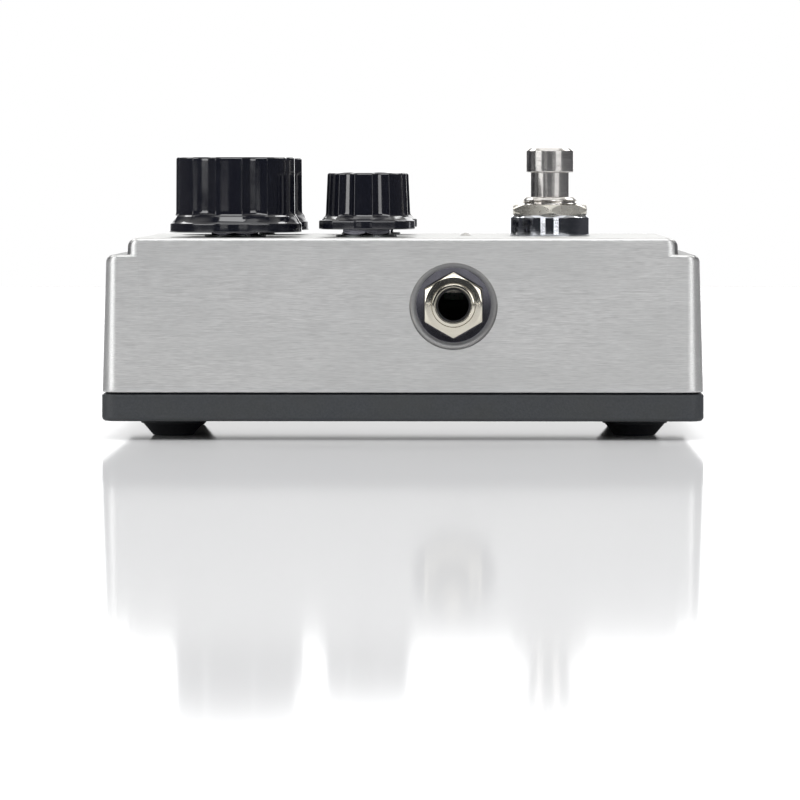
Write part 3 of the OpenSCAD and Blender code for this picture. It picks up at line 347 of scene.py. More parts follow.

# %% [markdown]
# ## Brushed aluminium
# The shell is a die casting, linished lengthways with a fine belt and sealed with a clear matt
# lacquer. The belt leaves short scratches along X on the sides and the top, and along Y on the
# ends. They are about 0.05 mm apart, too fine to show, so they are drawn at 0.14 and 0.3 mm. They
# spread the highlight across the scratches, which the shader's anisotropy does. The belt doesn't
# reach the inside, which keeps the grey, fine-grained skin of the casting. The jack dishes take the
# same darker grey, which there paints the shade in the recess.

# %% Brushed and cast aluminium
def brushed_shell():
    material, tree, shader = start_material("brushed_aluminium", "#dededd", 0.44, 1.0, Anisotropic=0.5)
    normal = add(tree, "ShaderNodeTexCoord").outputs["Normal"]
    facing = add(tree, "ShaderNodeSeparateXYZ", {0: normal}).outputs["X"]
    facing = add(tree, "ShaderNodeMath", {0: facing}, operation="ABSOLUTE").outputs[0]
    on_end = add(tree, "ShaderNodeMapRange", {0: facing, 1: 0.6, 2: 0.8, 3: 0, 4: 1}).outputs[0]
    layers = []
    for scratch_mm, length_mm in ((0.14, 2.2), (0.3, 8.0)):
        lengthways = grain(tree, (length_mm, scratch_mm, scratch_mm), 3)
        across = grain(tree, (scratch_mm, length_mm, scratch_mm), 3)
        layers.append(add(tree, "ShaderNodeMix", {0: on_end, 2: lengthways, 3: across},
                          data_type="FLOAT").outputs[0])
    fine, coarse = layers
    both = add(tree, "ShaderNodeMath", {0: coarse, 1: 0.5, 2: fine}, operation="MULTIPLY_ADD").outputs[0]
    tone = tones(tree, both, 0.5, 1.0, 1, "#d0d0cf", "#eaeae9")
    tone = tones(tree, grain(tree, (30.0, 12.0, 12.0)), 0.35, 0.65, 0.35, tone, "#d0d1d0")
    brush = add(tree, "ShaderNodeVectorMath", {0: normal, 1: (1.0, 0.03, 0.0)}, operation="CROSS_PRODUCT")
    feed(tree, shader, Base_Color=tone, Tangent=brush.outputs[0])
    vary_roughness(tree, shader, both, 0.5, 1.0, 0.41, 0.49)
    relief(tree, shader, both, 0.002, 0.5)
    return material


ALUMINIUM = brushed_shell()
# Darker cast grey: the casting's own skin inside the shell, and painted shade in the jack dishes.
AS_CAST_AND_DISH_SHADE = grained("as_cast_aluminium", "#9b9b9c", "#8d8d8e", "#a6a6a6", 0.35, 0.5, (0.44, 0.56), 0.01, 0.4,
                  3, 0.6, metallic=1.0)

# %% [markdown]
# ## Painted tray, rubber and moulded plastic
# The base tray is steel with a dark grey texture paint, whose grain is about 0.45 mm. The feet are
# matt moulded rubber. The knobs are glossy black phenolic: smooth, hard, faintly uneven where the
# mould was polished, with a little dust. The jack bodies and small holders are matt black nylon.

# %% Paint, rubber and plastics
def texture_paint():
    material, tree, shader = start_material("texture_paint", "#3a3d41", 0.5)
    coarse = grain(tree, 0.45, 3, 0.6)
    tone = tones(tree, coarse, 0.35, 0.7, 1, "#2c2f33", "#393c40")
    feed(tree, shader, Base_Color=tones(tree, grain(tree, 9.0), 0.3, 0.7, 0.4, tone, "#343531"))
    vary_roughness(tree, shader, coarse, 0.3, 0.7, 0.42, 0.6)
    relief(tree, shader, coarse, 0.05, 0.8)
    return material


def glossy_phenolic():
    material, tree, shader = start_material("glossy_phenolic", "#11121a", 0.11, IOR=1.6,
                                            Specular_IOR_Level=0.8)
    swell, dust = grain(tree, 3.5), grain(tree, 0.5, 3, 0.7)
    feed(tree, shader, Base_Color=tones(tree, dust, 0.55, 0.8, 0.5, "#11121a", "#262833"))
    vary_roughness(tree, shader, swell, 0.3, 0.7, 0.08, 0.14)
    relief(tree, shader, swell, 0.02, 0.25)
    return material


def pointer_paint():
    material, tree, shader = start_material("pointer_paint", "#e9e8e2", 0.4)
    wear = grain(tree, 0.8, 3, 0.7)
    feed(tree, shader, Base_Color=tones(tree, wear, 0.45, 0.75, 1, "#eceae4", "#c9c7c0"))
    return material


def moulded(name, base, lighter, roughness):
    """Moulded plastic: a fine, shallow grain left by the mould."""
    return grained(name, base, base, lighter, 0.3, roughness, (roughness - 0.07, roughness + 0.1), 0.01, 0.5)


PAINT, PHENOLIC, POINTER = texture_paint(), glossy_phenolic(), pointer_paint()
RUBBER = grained("moulded_rubber", "#23252a", "#1c1e22", "#2c2e33", 0.35, 0.62, (0.55, 0.75), 0.02, 0.6)
NYLON = moulded("moulded_black_nylon", "#141416", "#232326", 0.45)
print("paint, rubber and plastics ready")

# %% [markdown]
# ## Turned and plated metals
# The footswitch and the nuts are brass, turned on a lathe and plated with nickel or chrome. The
# tool leaves fine rings round the axis, which follow the height on a turned wall, so the streaks
# are thin along Z and long round it. Plating gives a mirror with a faint warm or blue cast.

# %% Plated metals
RING_LENGTH = 6.0


def plated(name, base, darker, roughness, ring_mm=0.18, rings="Z", spread=0.05, turned_marks=0.0):
    """Plated metal with fine turning rings: thin along the axis named by rings and long across it.
    turned_marks is how far the rings spread a highlight along that axis."""
    material, tree, shader = start_material(name, base, roughness, 1.0, Anisotropic=turned_marks)
    if turned_marks:
        # the spread runs over the surface along the axis: normal x (axis x normal)
        normal = add(tree, "ShaderNodeTexCoord").outputs["Normal"]
        axis = [0.03, 0.05, 0.02]
        axis["XYZ".index(rings)] = 1.0
        round_it = add(tree, "ShaderNodeVectorMath", {0: axis, 1: normal}, operation="CROSS_PRODUCT")
        along = add(tree, "ShaderNodeVectorMath", {0: normal, 1: round_it.outputs[0]},
                    operation="CROSS_PRODUCT")
        feed(tree, shader, Tangent=along.outputs[0])
    size = [RING_LENGTH] * 3
    size["XYZ".index(rings)] = ring_mm
    marks, smudge = grain(tree, size, 3, 0.6), grain(tree, 2.5)
    feed(tree, shader, Base_Color=tones(tree, marks, 0.35, 0.7, 1, darker, base))
    vary_roughness(tree, shader, smudge, 0.3, 0.7, roughness - spread / 2, roughness + spread / 2)
    relief(tree, shader, marks, 0.004, 0.5)
    return material


CHROME = plated("bright_chrome", "#d3d5da", "#c6c9cf", 0.05, spread=0.03)
SATIN_CHROME = plated("turned_chrome", "#e3e0dd", "#cdcac7", 0.2, 0.2, spread=0.03, turned_marks=0.4)
NICKEL = plated("satin_nickel", "#d2cfc7", "#c2beb4", 0.27, 0.2, spread=0.06)
NICKEL_FACE = plated("bright_nickel", "#e6e1d3", "#ddd7c8", 0.14, 0.25, "Y")
STEEL = plated("zinc_plated_steel", "#b3b5b6", "#9a9c9e", 0.3, 0.3, spread=0.12)
# Black nickel: the jack washers' own finish; on the pot nuts it paints the shade that the knobs cast.
BLACK_NICKEL_AND_NUT_SHADE = plated("black_nickel", "#7d7c85", "#6a6970", 0.19, 0.5, "Y", 0.04)
SHAFT = plated("machined_aluminium", "#bcbec0", "#a5a7a9", 0.28, 0.15, spread=0.1)
NICKEL_SILVER = plated("nickel_silver", "#b4b1a8", "#a19e95", 0.3, 0.3, spread=0.1)
BRASS = plated("machined_brass", "#c8a24e", "#b08a3c", 0.25, 0.2, spread=0.1)
print("metals ready")

# %% [markdown]
# ## The shell
# The shell is one die casting: a full-length lower block and a shorter raised block whose sides
# stand flush, both with the draft that lets them leave the mould. Stacking rounded rectangles
# gives each block its true rounded edges, and a small cove at the foot of the raised block is
# part of its stack. The two are joined, hollowed and drilled with booleans, as in the foundry.

# %% Shell: sizes
def size_of(node):
    """Corners of a construction node's box, in millimetres."""
    low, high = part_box(node)
    return low / MM, high / MM


shell_low, shell_high = size_of("shell")
SHELL_X, SHELL_Y = shell_high.x, shell_high.y
SEAM_Z, TOP_Z = shell_low.z - 0.25, shell_high.z
DRAFT = math.tan(math.radians(1.7))
STEP_H, LEDGE_L = 3.55, 5.6
WALL, TOP_T = 1.9, 2.2
CORNER = 3.6
LEDGE_Z = TOP_Z - STEP_H
RISER_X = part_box("base_plate")[1].x / MM - LEDGE_L + STEP_H * DRAFT
CEILING_Z, LOW_CEILING_Z = TOP_Z - TOP_T, LEDGE_Z - TOP_T
BIG_X = sum(c.x for c in size_of("pot_big_near")) / 2
SMALL_X = sum(c.x for c in size_of("pot_small_near")) / 2
KNOB_Y = sum(c.y for c in size_of("pot_big_far")) / 2
SWITCH_X = sum(c.x for c in size_of("switch_plunger")) / 2
LED_X = sum(c.x for c in size_of("led_lens")) / 2
JACK_X = sum(c.x for c in size_of("jack_nuts")) / 2
JACK_Z = sum(c.z for c in size_of("jack_nuts")) / 2
BOSS_X, BOSS_Y = [c - 2.8 for c in size_of("base_screws")[1]][:2]
print(f"shell {2 * SHELL_X:.1f} x {2 * SHELL_Y:.1f} mm, top at {TOP_Z:.2f}, ledges at {LEDGE_Z:.2f}")


# %% Shell: the two blocks
def round_in(height, top, radius):
    """Inset of an edge rounded to a radius, at a height under its top."""
    below = height - (top - radius)
    return radius - math.sqrt(max(radius ** 2 - below ** 2, 0)) if below > 0 else 0


def heights(low, top, *radii, steps=7):
    """Heights from low to top, close together where edges of the given radii turn in."""
    turns = [top - r * (1 - math.sin(math.radians(90 * i / steps))) for r in radii for i in range(steps + 1)]
    kept = [low]
    for h in sorted(turns):
        if h > kept[-1] + 0.02:
            kept.append(h)
    return kept


END_R, SIDE_R, LEDGE_R, LEDGE_SIDE_R = 1.8, 0.65, 1.5, 0.5
COVE, FLUSH, FOOT_R = 0.45, 0.02, 0.3


def shell_outside():
    foot = [(SEAM_Z, FOOT_R, FOOT_R), (SEAM_Z + 0.3 * FOOT_R, 0.3 * FOOT_R, 0.3 * FOOT_R),
            (SEAM_Z + FOOT_R, 0, 0)]
    lower = [(z, x, y + FLUSH) for z, x, y in foot]
    for z in heights(SEAM_Z + 2 * FOOT_R, LEDGE_Z, LEDGE_R, LEDGE_SIDE_R):
        lean = (z - SEAM_Z) * DRAFT
        lower.append((z, lean + round_in(z, LEDGE_Z, LEDGE_R),
                      lean + FLUSH + round_in(z, LEDGE_Z, LEDGE_SIDE_R)))
    low_block = block("shell", SHELL_X, SHELL_Y, CORNER, lower)

    raised = [(z, 0, y) for z, x, y in foot] + [(LEDGE_Z - 1, 0, (LEDGE_Z - 1 - SEAM_Z) * DRAFT)]
    for i in range(7):
        a = math.radians(90 * i / 6)
        z = LEDGE_Z - 0.01 + COVE * (1 - math.cos(a))
        raised.append((z, COVE * math.sin(a), (z - SEAM_Z) * DRAFT))
    for z in heights(LEDGE_Z + 2 * COVE, TOP_Z, END_R, SIDE_R):
        raised.append((z, COVE + (z - LEDGE_Z) * DRAFT + round_in(z, TOP_Z, END_R),
                       (z - SEAM_Z) * DRAFT + round_in(z, TOP_Z, SIDE_R)))
    high_block = block("raised", RISER_X + COVE, SHELL_Y, 3.0, raised)
    return combine(low_block, high_block, "UNION")


def shell_inside():
    lean = (LOW_CEILING_Z - SEAM_Z) * DRAFT
    low = block("hollow", SHELL_X - WALL, SHELL_Y - WALL, 2.0,
                [(SEAM_Z - 1, 0, 0), (LOW_CEILING_Z, lean, lean)])
    high = block("upper_hollow", RISER_X - WALL, SHELL_Y - WALL - lean, 2.0,
                 [(LOW_CEILING_Z - 3, 0, 0), (CEILING_Z, 0.1, (CEILING_Z - LOW_CEILING_Z) * DRAFT)])
    return combine(low, high, "UNION")


shell = combine(shell_outside(), shell_inside())
print("shell blocks joined and hollowed:", len(shell.data.polygons), "faces")

# %% [markdown]
# ### Bosses, holes and recesses
# Four bosses take the base screws. The top is drilled for the potentiometers, the switch and the
# lamp, and each long side has a dished recess in which the jack's washer sits, so that its nut
# clamps on a flat floor although the wall leans.

# %% Shell: bosses, holes and recesses
RECESS_R, RECESS_DEPTH, RECESS_FLOOR_R = 9.4, 0.6, 8.1
JACK_WASHER_Y = size_of("jack_washers")[1].y
JACK_FACE_Y = size_of("output_jack_bushing")[0].y * -1
WALL_Y = SHELL_Y - (JACK_Z - SEAM_Z) * DRAFT
RECESS_Y = WALL_Y - RECESS_DEPTH
DC_Z = sum(c.z for c in size_of("dc_jack_pin")) / 2
BOSSES = [shift(sx * BOSS_X, sy * BOSS_Y, 0) for sx in (-1, 1) for sy in (-1, 1)]


def recess_cutter():
    """Dish with a rounded mouth: a flat floor, then a wall that flares to the face."""
    wall = [(RECESS_FLOOR_R, 0), (RECESS_R - 0.55, RECESS_DEPTH * 0.55)]
    mouth = [(RECESS_R - 0.15, RECESS_DEPTH), (RECESS_R + 0.15, RECESS_DEPTH + 0.6), (RECESS_R + 0.35, 6)]
    return turned("recess", [(0, 0)] + wall + mouth + [(0, 6)], 96)


def add_bosses():
    for place in BOSSES:
        boss = cylinder("boss", 4.4, SEAM_Z, LOW_CEILING_Z + 0.6, 48)
        combine(shell, move(boss, place), "UNION")
        hole = cylinder("screw_hole", 1.55, SEAM_Z - 1, SEAM_Z + 11, 32)
        combine(shell, move(hole, place))


def drill():
    holes = [(x, side * KNOB_Y, 3.65) for x in (BIG_X, SMALL_X) for side in (NEAR, FAR)]
    holes += [(SWITCH_X, 0, 6.15), (LED_X, 0, 1.62)]
    for x, y, radius in holes:
        combine(shell, move(cylinder("hole", radius, CEILING_Z - 1, TOP_Z + 1), shift(x, y, 0)))
    for side in (NEAR, FAR):
        pad = cylinder("pad", RECESS_R + 1.5, -WALL - 1 + RECESS_DEPTH, 0, 64)
        combine(shell, move(pad, outwards(side, JACK_X, side * RECESS_Y, JACK_Z)), "UNION")
        combine(shell, move(recess_cutter(), outwards(side, JACK_X, side * RECESS_Y, JACK_Z)))
        bore = cylinder("bore", 4.65, -8, 4)
        combine(shell, move(bore, outwards(side, JACK_X, side * RECESS_Y, JACK_Z)))
    socket = move(cylinder("socket", 4.3, -SHELL_X - 2, -SHELL_X + 4), Matrix.Rotation(math.pi / 2, 4, "Y"))
    combine(shell, move(socket, shift(0, 0, DC_Z)))


add_bosses()
drill()
shade(shell, 30)
dress(shell, "shell", "case", ALUMINIUM)
shell.data.materials.append(AS_CAST_AND_DISH_SHADE)
# Faces in the jack dishes take the darker grey as painted shade; faces inside take it as the casting's own
# skin.
for face in shell.data.polygons:
    centre = face.center / MM
    from_axis = math.hypot(centre.x - JACK_X, centre.z - JACK_Z)
    in_shaded_dish = from_axis < RECESS_R + 0.2 and abs(centre.y) < SHELL_Y - (centre.z - SEAM_Z) * DRAFT - 0.02
    inside = max(abs(centre.x) - SHELL_X, abs(centre.y) - SHELL_Y) < -WALL + 0.3 and centre.z < TOP_Z - 1
    face.material_index = 1 if in_shaded_dish or inside else 0
print("as-cast faces:", sum(face.material_index for face in shell.data.polygons))

# %% [markdown]
# ## The base tray
# The tray is a deep-drawn steel pan with soft corners and a lip that locates inside the shell. It
# is stacked like the shell, hollowed, and drilled for the four screws, whose heads sit in pockets.

# %% Base tray
def make_tray():
    low, high = size_of("base_plate")
    lip_h, lip_in, lip_t, floor_t, foot_r = 1.8, 2.2, 1.2, 2.0, 0.9
    wall_top = high.z - lip_h - 0.25
    foot = [(low.z + foot_r * (1 - math.sin(math.radians(a))), foot_r * (1 - math.cos(math.radians(a))))
            for a in range(90, -1, -15)]
    rim = [(wall_top - 0.35, 0, 0), (wall_top - 0.1, 0.08, 0.08), (wall_top, 0.3, 0.3)]
    walls = [(z, inset, inset) for z, inset in foot] + rim
    tray = block("base_tray", high.x, high.y, 3.3, walls)
    lip = block("lip", high.x - lip_in, high.y - lip_in, 2.0,
                [(low.z + 1.5, 0, 0), (high.z - 0.3, 0, 0), (high.z, 0.3, 0.3)])
    combine(tray, lip, "UNION")
    hollow = block("pan", high.x - lip_in - lip_t, high.y - lip_in - lip_t, 1.4,
                   [(low.z + floor_t, 0, 0), (high.z + 1, 0, 0)])
    combine(tray, hollow)
    pocket = [(0, low.z - 1), (3.3, low.z - 1), (3.1, low.z + 0.25), (3.1, low.z + 2.3), (0, low.z + 2.3)]
    for place in BOSSES:
        combine(tray, move(cylinder("clear", 4.7, wall_top + 0.4, high.z + 2, 48), place))
        combine(tray, move(cylinder("pillar", 4.4, low.z + 1.0, SEAM_Z, 48), place), "UNION")
        combine(tray, move(cylinder("clearance", 1.7, low.z - 1, SEAM_Z + 1, 32), place))
        combine(tray, move(turned("pocket", pocket, 48), place))
    shade(tray, 30)
    return dress(tray, "base_plate", "case", PAINT)


make_tray()

# %% [markdown]
# ## Things that come in fours
# The feet, the base screws, and the nuts and washers of the potentiometers are four alike, at the
# corners of a rectangle. Each is made once and a Geometry Nodes tree sets it at the corners of a
# grid, so one change of spacing moves all four.

# %% A rule that sets copies at the corners of a rectangle
def rule(name, inputs):
    """New Geometry Nodes tree with a geometry input, named inputs and a geometry output."""
    tree = bpy.data.node_groups.new(name, "GeometryNodeTree")
    tree.interface.new_socket("Geometry", in_out="INPUT", socket_type="NodeSocketGeometry")
    for label, kind in inputs.items():
        tree.interface.new_socket(label, in_out="INPUT", socket_type="NodeSocket" + kind)
    tree.interface.new_socket("Geometry", in_out="OUTPUT", socket_type="NodeSocketGeometry")
    return tree, add(tree, "NodeGroupInput"), add(tree, "NodeGroupOutput")


def follow(piece, tree, **values):
    """Applies a rule to a piece with values for its named inputs, and keeps the result as a mesh."""
    modifier = piece.modifiers.new(tree.name, "NODES")
    modifier.node_group = tree
    for item in tree.interface.items_tree:
        label = item.name.replace(" ", "_").lower()
        if item.in_out == "INPUT" and label in values:
            modifier[item.identifier] = values[label]
    return settle(piece)


def corner_rule():
    tree, given, out = rule("copies_at_corners", {"Spacing X": "Float", "Spacing Y": "Float",
                                                  "Centre": "Vector", "Finish": "Material"})
    grid = add(tree, "GeometryNodeMeshGrid", {"Size X": given.outputs["Spacing X"],
                                              "Size Y": given.outputs["Spacing Y"],
                                              "Vertices X": 2, "Vertices Y": 2})
    placed = add(tree, "GeometryNodeTransform", {"Geometry": grid.outputs["Mesh"],
                                                 "Translation": given.outputs["Centre"]})
    copies = add(tree, "GeometryNodeInstanceOnPoints", {"Points": placed.outputs[0],
                                                        "Instance": given.outputs["Geometry"]})
    real = add(tree, "GeometryNodeRealizeInstances", {0: copies.outputs[0]})
    made = add(tree, "GeometryNodeSetMaterial", {"Geometry": real.outputs[0],
                                                 "Material": given.outputs["Finish"]})
    tree.links.new(made.outputs[0], out.inputs[0])
    return tree


AT_CORNERS = corner_rule()


def four(piece, spacing_x, spacing_y, centre_x, material, node, body, slot):
    """Sets a piece made at the origin at four corners, in millimetres, and hands it in."""
    follow(piece, AT_CORNERS, spacing_x=spacing_x * MM, spacing_y=spacing_y * MM,
           centre=(centre_x * MM, 0, 0), finish=material)
    shade(piece, 32)
    return dress(piece, node, body, material)


print("rule ready:", AT_CORNERS.name)

# %% [markdown]
# ## Feet and base screws
# The feet are pressed rubber: a cone on a short upright lip, with a soft lower edge. The screws
# are pan heads with a cross recess, cut with two crossed wedges as the punch that forms them.

# %% Feet and base screws
FOOT_LIP_R, SCREW_HEAD_R = 6.95, 2.8


def make_feet():
    low, high = size_of("feet")
    spacing_x, spacing_y = [(high[i] - low[i]) - 2 * FOOT_LIP_R for i in (0, 1)]
    outline = [(0, 0.25), (3.4, 0.25), (3.7, 0)] + arc(4.05, 0.45, 0.45, -90, -40, 4)
    outline += [(6.4, 2.5), (6.75, 2.62)] + arc(6.75, 2.82, 0.2, -60, 0, 3) + [(FOOT_LIP_R, 4.0), (0, 4.0)]
    foot = turned("rubber_feet", outline, 64)
    return four(foot, spacing_x, spacing_y, (low.x + high.x) / 2, RUBBER, "feet", "case", "foot_rubber")


def make_base_screws():
    low, high = size_of("base_screws")
    head = [(0, low.z)] + arc(1.6, low.z + 1.2, 1.2, -90, 0, 6)
    head += [(SCREW_HEAD_R, low.z + 2.0), (1.5, low.z + 2.0)]
    screw = turned("base_screws", head + [(1.5, high.z - 0.4), (1.1, high.z), (0, high.z)], 48)
    for turn in (0, 90):
        levels = [(low.z - 1, 0, 0), (low.z + 1.1, 0.0, 0.0), (low.z + 1.5, 0.04, 0.04)]
        wedge = block("wedge", 1.5, 0.3, 0.05, levels, 1)
        combine(screw, move(wedge, Matrix.Rotation(math.radians(45 + turn), 4, "Z")))
    spacing_x, spacing_y = [(high[i] - low[i]) - 2 * SCREW_HEAD_R for i in (0, 1)]
    return four(screw, spacing_x, spacing_y, 0, STEEL, "base_screws", "case", "screw_steel")


make_feet()
make_base_screws()

# %% [markdown]
# ## Threads and hexagon nuts
# A thread is a ridge that climbs one pitch in each turn. A Geometry Nodes rule moves each point of
# a turned wall in by a triangle wave of its height less its angle. A nut is a hexagon bar chamfered
# by a cone at both faces, which leaves the curved lines that end each flat, so it is built as
# columns round its axis that each run out to the hexagon's side and follow the cone there.

# %% Threads and nuts
def press_in(tree, given, out, flat, amount):
    """Ends a rule: moves each point towards the Z axis by an amount. flat is its place without its height."""
    inwards = add(tree, "ShaderNodeMath", {0: amount, 1: -1.0}, operation="MULTIPLY").outputs[0]
    out_way = add(tree, "ShaderNodeVectorMath", {0: flat}, operation="NORMALIZE").outputs[0]
    offset = add(tree, "ShaderNodeVectorMath", {0: out_way, "Scale": inwards}, operation="SCALE").outputs[0]
    moved = add(tree, "GeometryNodeSetPosition", {"Geometry": given.outputs["Geometry"], "Offset": offset})
    real = add(tree, "GeometryNodeRealizeInstances", {0: moved.outputs[0]})
    tree.links.new(real.outputs[0], out.inputs[0])


def thread_rule():
    tree, given, out = rule("thread", {"Pitch": "Float", "Depth": "Float", "Low": "Float", "High": "Float",
                                       "Least Radius": "Float"})
    place = add(tree, "GeometryNodeInputPosition").outputs[0]
    x, y, z = add(tree, "ShaderNodeSeparateXYZ", {0: place}).outputs
    angle = add(tree, "ShaderNodeMath", {0: y, 1: x}, operation="ARCTAN2").outputs[0]
    flat = add(tree, "ShaderNodeVectorMath", {0: place, 1: (1, 1, 0)}, operation="MULTIPLY").outputs[0]
    radius = add(tree, "ShaderNodeVectorMath", {0: flat}, operation="LENGTH").outputs["Value"]
    turns = add(tree, "ShaderNodeMath", {0: z, 1: given.outputs["Pitch"]}, operation="DIVIDE").outputs[0]
    phase = add(tree, "ShaderNodeMath", {0: angle, 1: -1 / (2 * math.pi), 2: turns},
                operation="MULTIPLY_ADD").outputs[0]
    wave = add(tree, "ShaderNodeMath", {0: phase, 1: 0.5}, operation="PINGPONG").outputs[0]
    amount = add(tree, "ShaderNodeMath", {0: wave, 1: given.outputs["Depth"]},
                 operation="MULTIPLY").outputs[0]
    amount = add(tree, "ShaderNodeMath", {0: amount, 1: 2.0}, operation="MULTIPLY").outputs[0]
    for value, limit, test in ((z, "Low", "GREATER_THAN"), (z, "High", "LESS_THAN"),
                               (radius, "Least Radius", "GREATER_THAN")):
        passed = add(tree, "ShaderNodeMath", {0: value, 1: given.outputs[limit]}, operation=test).outputs[0]
        amount = add(tree, "ShaderNodeMath", {0: amount, 1: passed}, operation="MULTIPLY").outputs[0]
    press_in(tree, given, out, flat, amount)
    return tree


THREAD = thread_rule()


def threaded(name, radius, bore, low, high, thread_low, thread_high, pitch, chamfer, mouth):
    """Threaded bushing round Z, in millimetres, open along its bore. mouth lists (radius, depth) down
    into it."""
    rows = max(int((thread_high - thread_low) / (pitch / 6)), 2)
    wall = [(radius, thread_low + (thread_high - thread_low) * i / rows) for i in range(rows + 1)]
    top = [(radius, high - chamfer), (radius - 0.75 * chamfer, high - 0.12 * chamfer),
           (radius - chamfer, high)]
    outline = [(bore, low), (radius, low)] + ([(radius, low + 0.05)] if thread_low > low + 0.1 else []) + wall
    outline += top + [(r, high - depth) for r, depth in mouth]
    piece = turned(name, outline, 72)
    return follow(piece, THREAD, pitch=pitch * MM, depth=0.5 * pitch * MM, low=(thread_low + 0.01) * MM,
                  high=(thread_high - 0.01) * MM, least_radius=(radius - 0.05) * MM)


def hexagon(name, across, thickness, bore, chamfer, slope, turn=0.0, edge=0.06, dome=0.0):
    """Hexagon nut from Z = 0 up, as columns round it. chamfer is the height that the cones take off the
    corners, and dome is how far the top face falls from its bore to where its cone starts."""
    corner = across / 2 / math.cos(math.pi / 6)
    start = corner - chamfer * slope

    def top(r):
        fall = dome * (r - bore) / (start - bore) if r < start else dome + (r - start) / slope
        return thickness - fall

    def bottom(r):
        return max(r - start, 0) / slope

    points = []
    for flat in range(6):
        for offset in (-30, -29.2, -27.5, -24, -19, -13, -6.5, 0, 6.5, 13, 19, 24, 27.5, 29.2):
            a = math.radians(60 * flat + turn + 30 + offset)
            reach = min(across / 2 / math.cos(math.radians(offset)), corner - edge)
            inner = min(start, reach - 2 * edge)
            radii = [bore + 0.1, bore + (inner - bore) * 0.4, bore + (inner - bore) * 0.75, inner - 0.03,
                     inner + 0.03, (inner + reach - edge) / 2, reach - edge]
            column = [(bore, 0.1), (bore, thickness - 0.1)] + [(r, top(r)) for r in radii]
            column += [(reach, top(reach) - 0.6 * edge), (reach, bottom(reach) + 0.6 * edge)]
            column += [(r, bottom(r)) for r in reversed(radii)]
            points += [(r * math.cos(a), r * math.sin(a), z) for r, z in column]
    rows, columns = len(column), len(points) // len(column)
    faces = [[c * rows + r, c * rows + (r + 1) % rows, (c + 1) % columns * rows + (r + 1) % rows,
              (c + 1) % columns * rows + r] for c in range(columns) for r in range(rows)]
    return from_points(name, points, faces)


# %% Potentiometer nuts and washers
def make_pot_hardware():
    at_shafts = (SMALL_X - BIG_X, 2 * KNOB_Y, (BIG_X + SMALL_X) / 2)
    low, high = size_of("pot_nuts")
    nut = move(hexagon("pot_nuts", 10, high.z - low.z, 3.55, 0.45, 1.7, 30), shift(0, 0, low.z))
    # The pot nuts are darkened with the black nickel, which paints the shade that falls on them under the
    # knobs.
    four(nut, *at_shafts, BLACK_NICKEL_AND_NUT_SHADE, "pot_nuts", "case", "plated_steel")
    low, high = size_of("pot_washers")
    rim = [(3.65, low.z), (6.5, low.z)] + arc(6.45, (low.z + high.z) / 2, 0.15, -60, 60, 4)
    washer = turned("pot_washers", rim + [(6.4, high.z), (3.65, high.z)], 72)
    four(washer, *at_shafts, STEEL, "pot_washers", "case", "plated_steel")


make_pot_hardware()

# %% [markdown]
# ## The knobs
# The knobs are moulded phenolic: a round skirt, a sloped shoulder and a body with seven lobes
# between seven scooped flutes, whose edges meet in sharp ridges. The body is turned with columns
# that are close together at the ridges, and a Geometry Nodes rule presses the flutes in: the
# depth falls off as the square of the angle from a flute's middle. Two weights on the outline say
# how far each height takes part in the flutes and in the rim's scallops.

# %% Knobs: the rule for flutes
LOBES = 7
PERIOD = 360 / LOBES
KNOB_TURN = -16.4
FIRST_LOBE = 180 + KNOB_TURN


def flute_rule():
    tree, given, out = rule("flutes", {"Lobes": "Float", "First Lobe": "Float", "Flute Depth": "Float",
                                       "Scallop Depth": "Float", "Scallop Share": "Float"})
    place = add(tree, "GeometryNodeInputPosition").outputs[0]
    flat = add(tree, "ShaderNodeVectorMath", {0: place, 1: (1, 1, 0)}, operation="MULTIPLY").outputs[0]
    x, y, _ = add(tree, "ShaderNodeSeparateXYZ", {0: place}).outputs
    angle = add(tree, "ShaderNodeMath", {0: y, 1: x}, operation="ARCTAN2").outputs[0]
    from_lobe = add(tree, "ShaderNodeMath", {0: angle, 1: given.outputs["First Lobe"]},
                    operation="SUBTRACT").outputs[0]
    count = add(tree, "ShaderNodeMath", {0: given.outputs["Lobes"], 1: 1 / (2 * math.pi)},
                operation="MULTIPLY").outputs[0]
    phase = add(tree, "ShaderNodeMath", {0: from_lobe, 1: count}, operation="MULTIPLY").outputs[0]
    # 0 at a lobe's middle, 1 at a flute's middle, and one half at the ridge between them
    across = add(tree, "ShaderNodeMath", {0: phase, 1: 0.5}, operation="PINGPONG").outputs[0]
    across = add(tree, "ShaderNodeMath", {0: across, 1: 2.0}, operation="MULTIPLY").outputs[0]

    def dip(share):
        """1 at a flute's middle and 0 at share of a half period from it, along a parabola."""
        away = add(tree, "ShaderNodeMath", {0: 1.0, 1: across}, operation="SUBTRACT").outputs[0]
        away = add(tree, "ShaderNodeMath", {0: away, 1: share}, operation="DIVIDE").outputs[0]
        away = add(tree, "ShaderNodeMath", {0: away, 1: 2.0}, operation="POWER").outputs[0]
        left = add(tree, "ShaderNodeMath", {0: 1.0, 1: away}, operation="SUBTRACT").outputs[0]
        return add(tree, "ShaderNodeMath", {0: left, 1: 0.0}, operation="MAXIMUM").outputs[0]

    amounts = []
    for share, depth, weight in ((0.5, "Flute Depth", "flute"),
                                 (given.outputs["Scallop Share"], "Scallop Depth", "scallop")):
        named = add(tree, "GeometryNodeInputNamedAttribute", {"Name": weight},
                    data_type="FLOAT").outputs["Attribute"]
        pressed = add(tree, "ShaderNodeMath", {0: dip(share), 1: given.outputs[depth]},
                      operation="MULTIPLY").outputs[0]
        amounts.append(add(tree, "ShaderNodeMath", {0: pressed, 1: named}, operation="MULTIPLY").outputs[0])
    total = add(tree, "ShaderNodeMath", {0: amounts[0], 1: amounts[1]}, operation="ADD").outputs[0]
    press_in(tree, given, out, flat, total)
    return tree


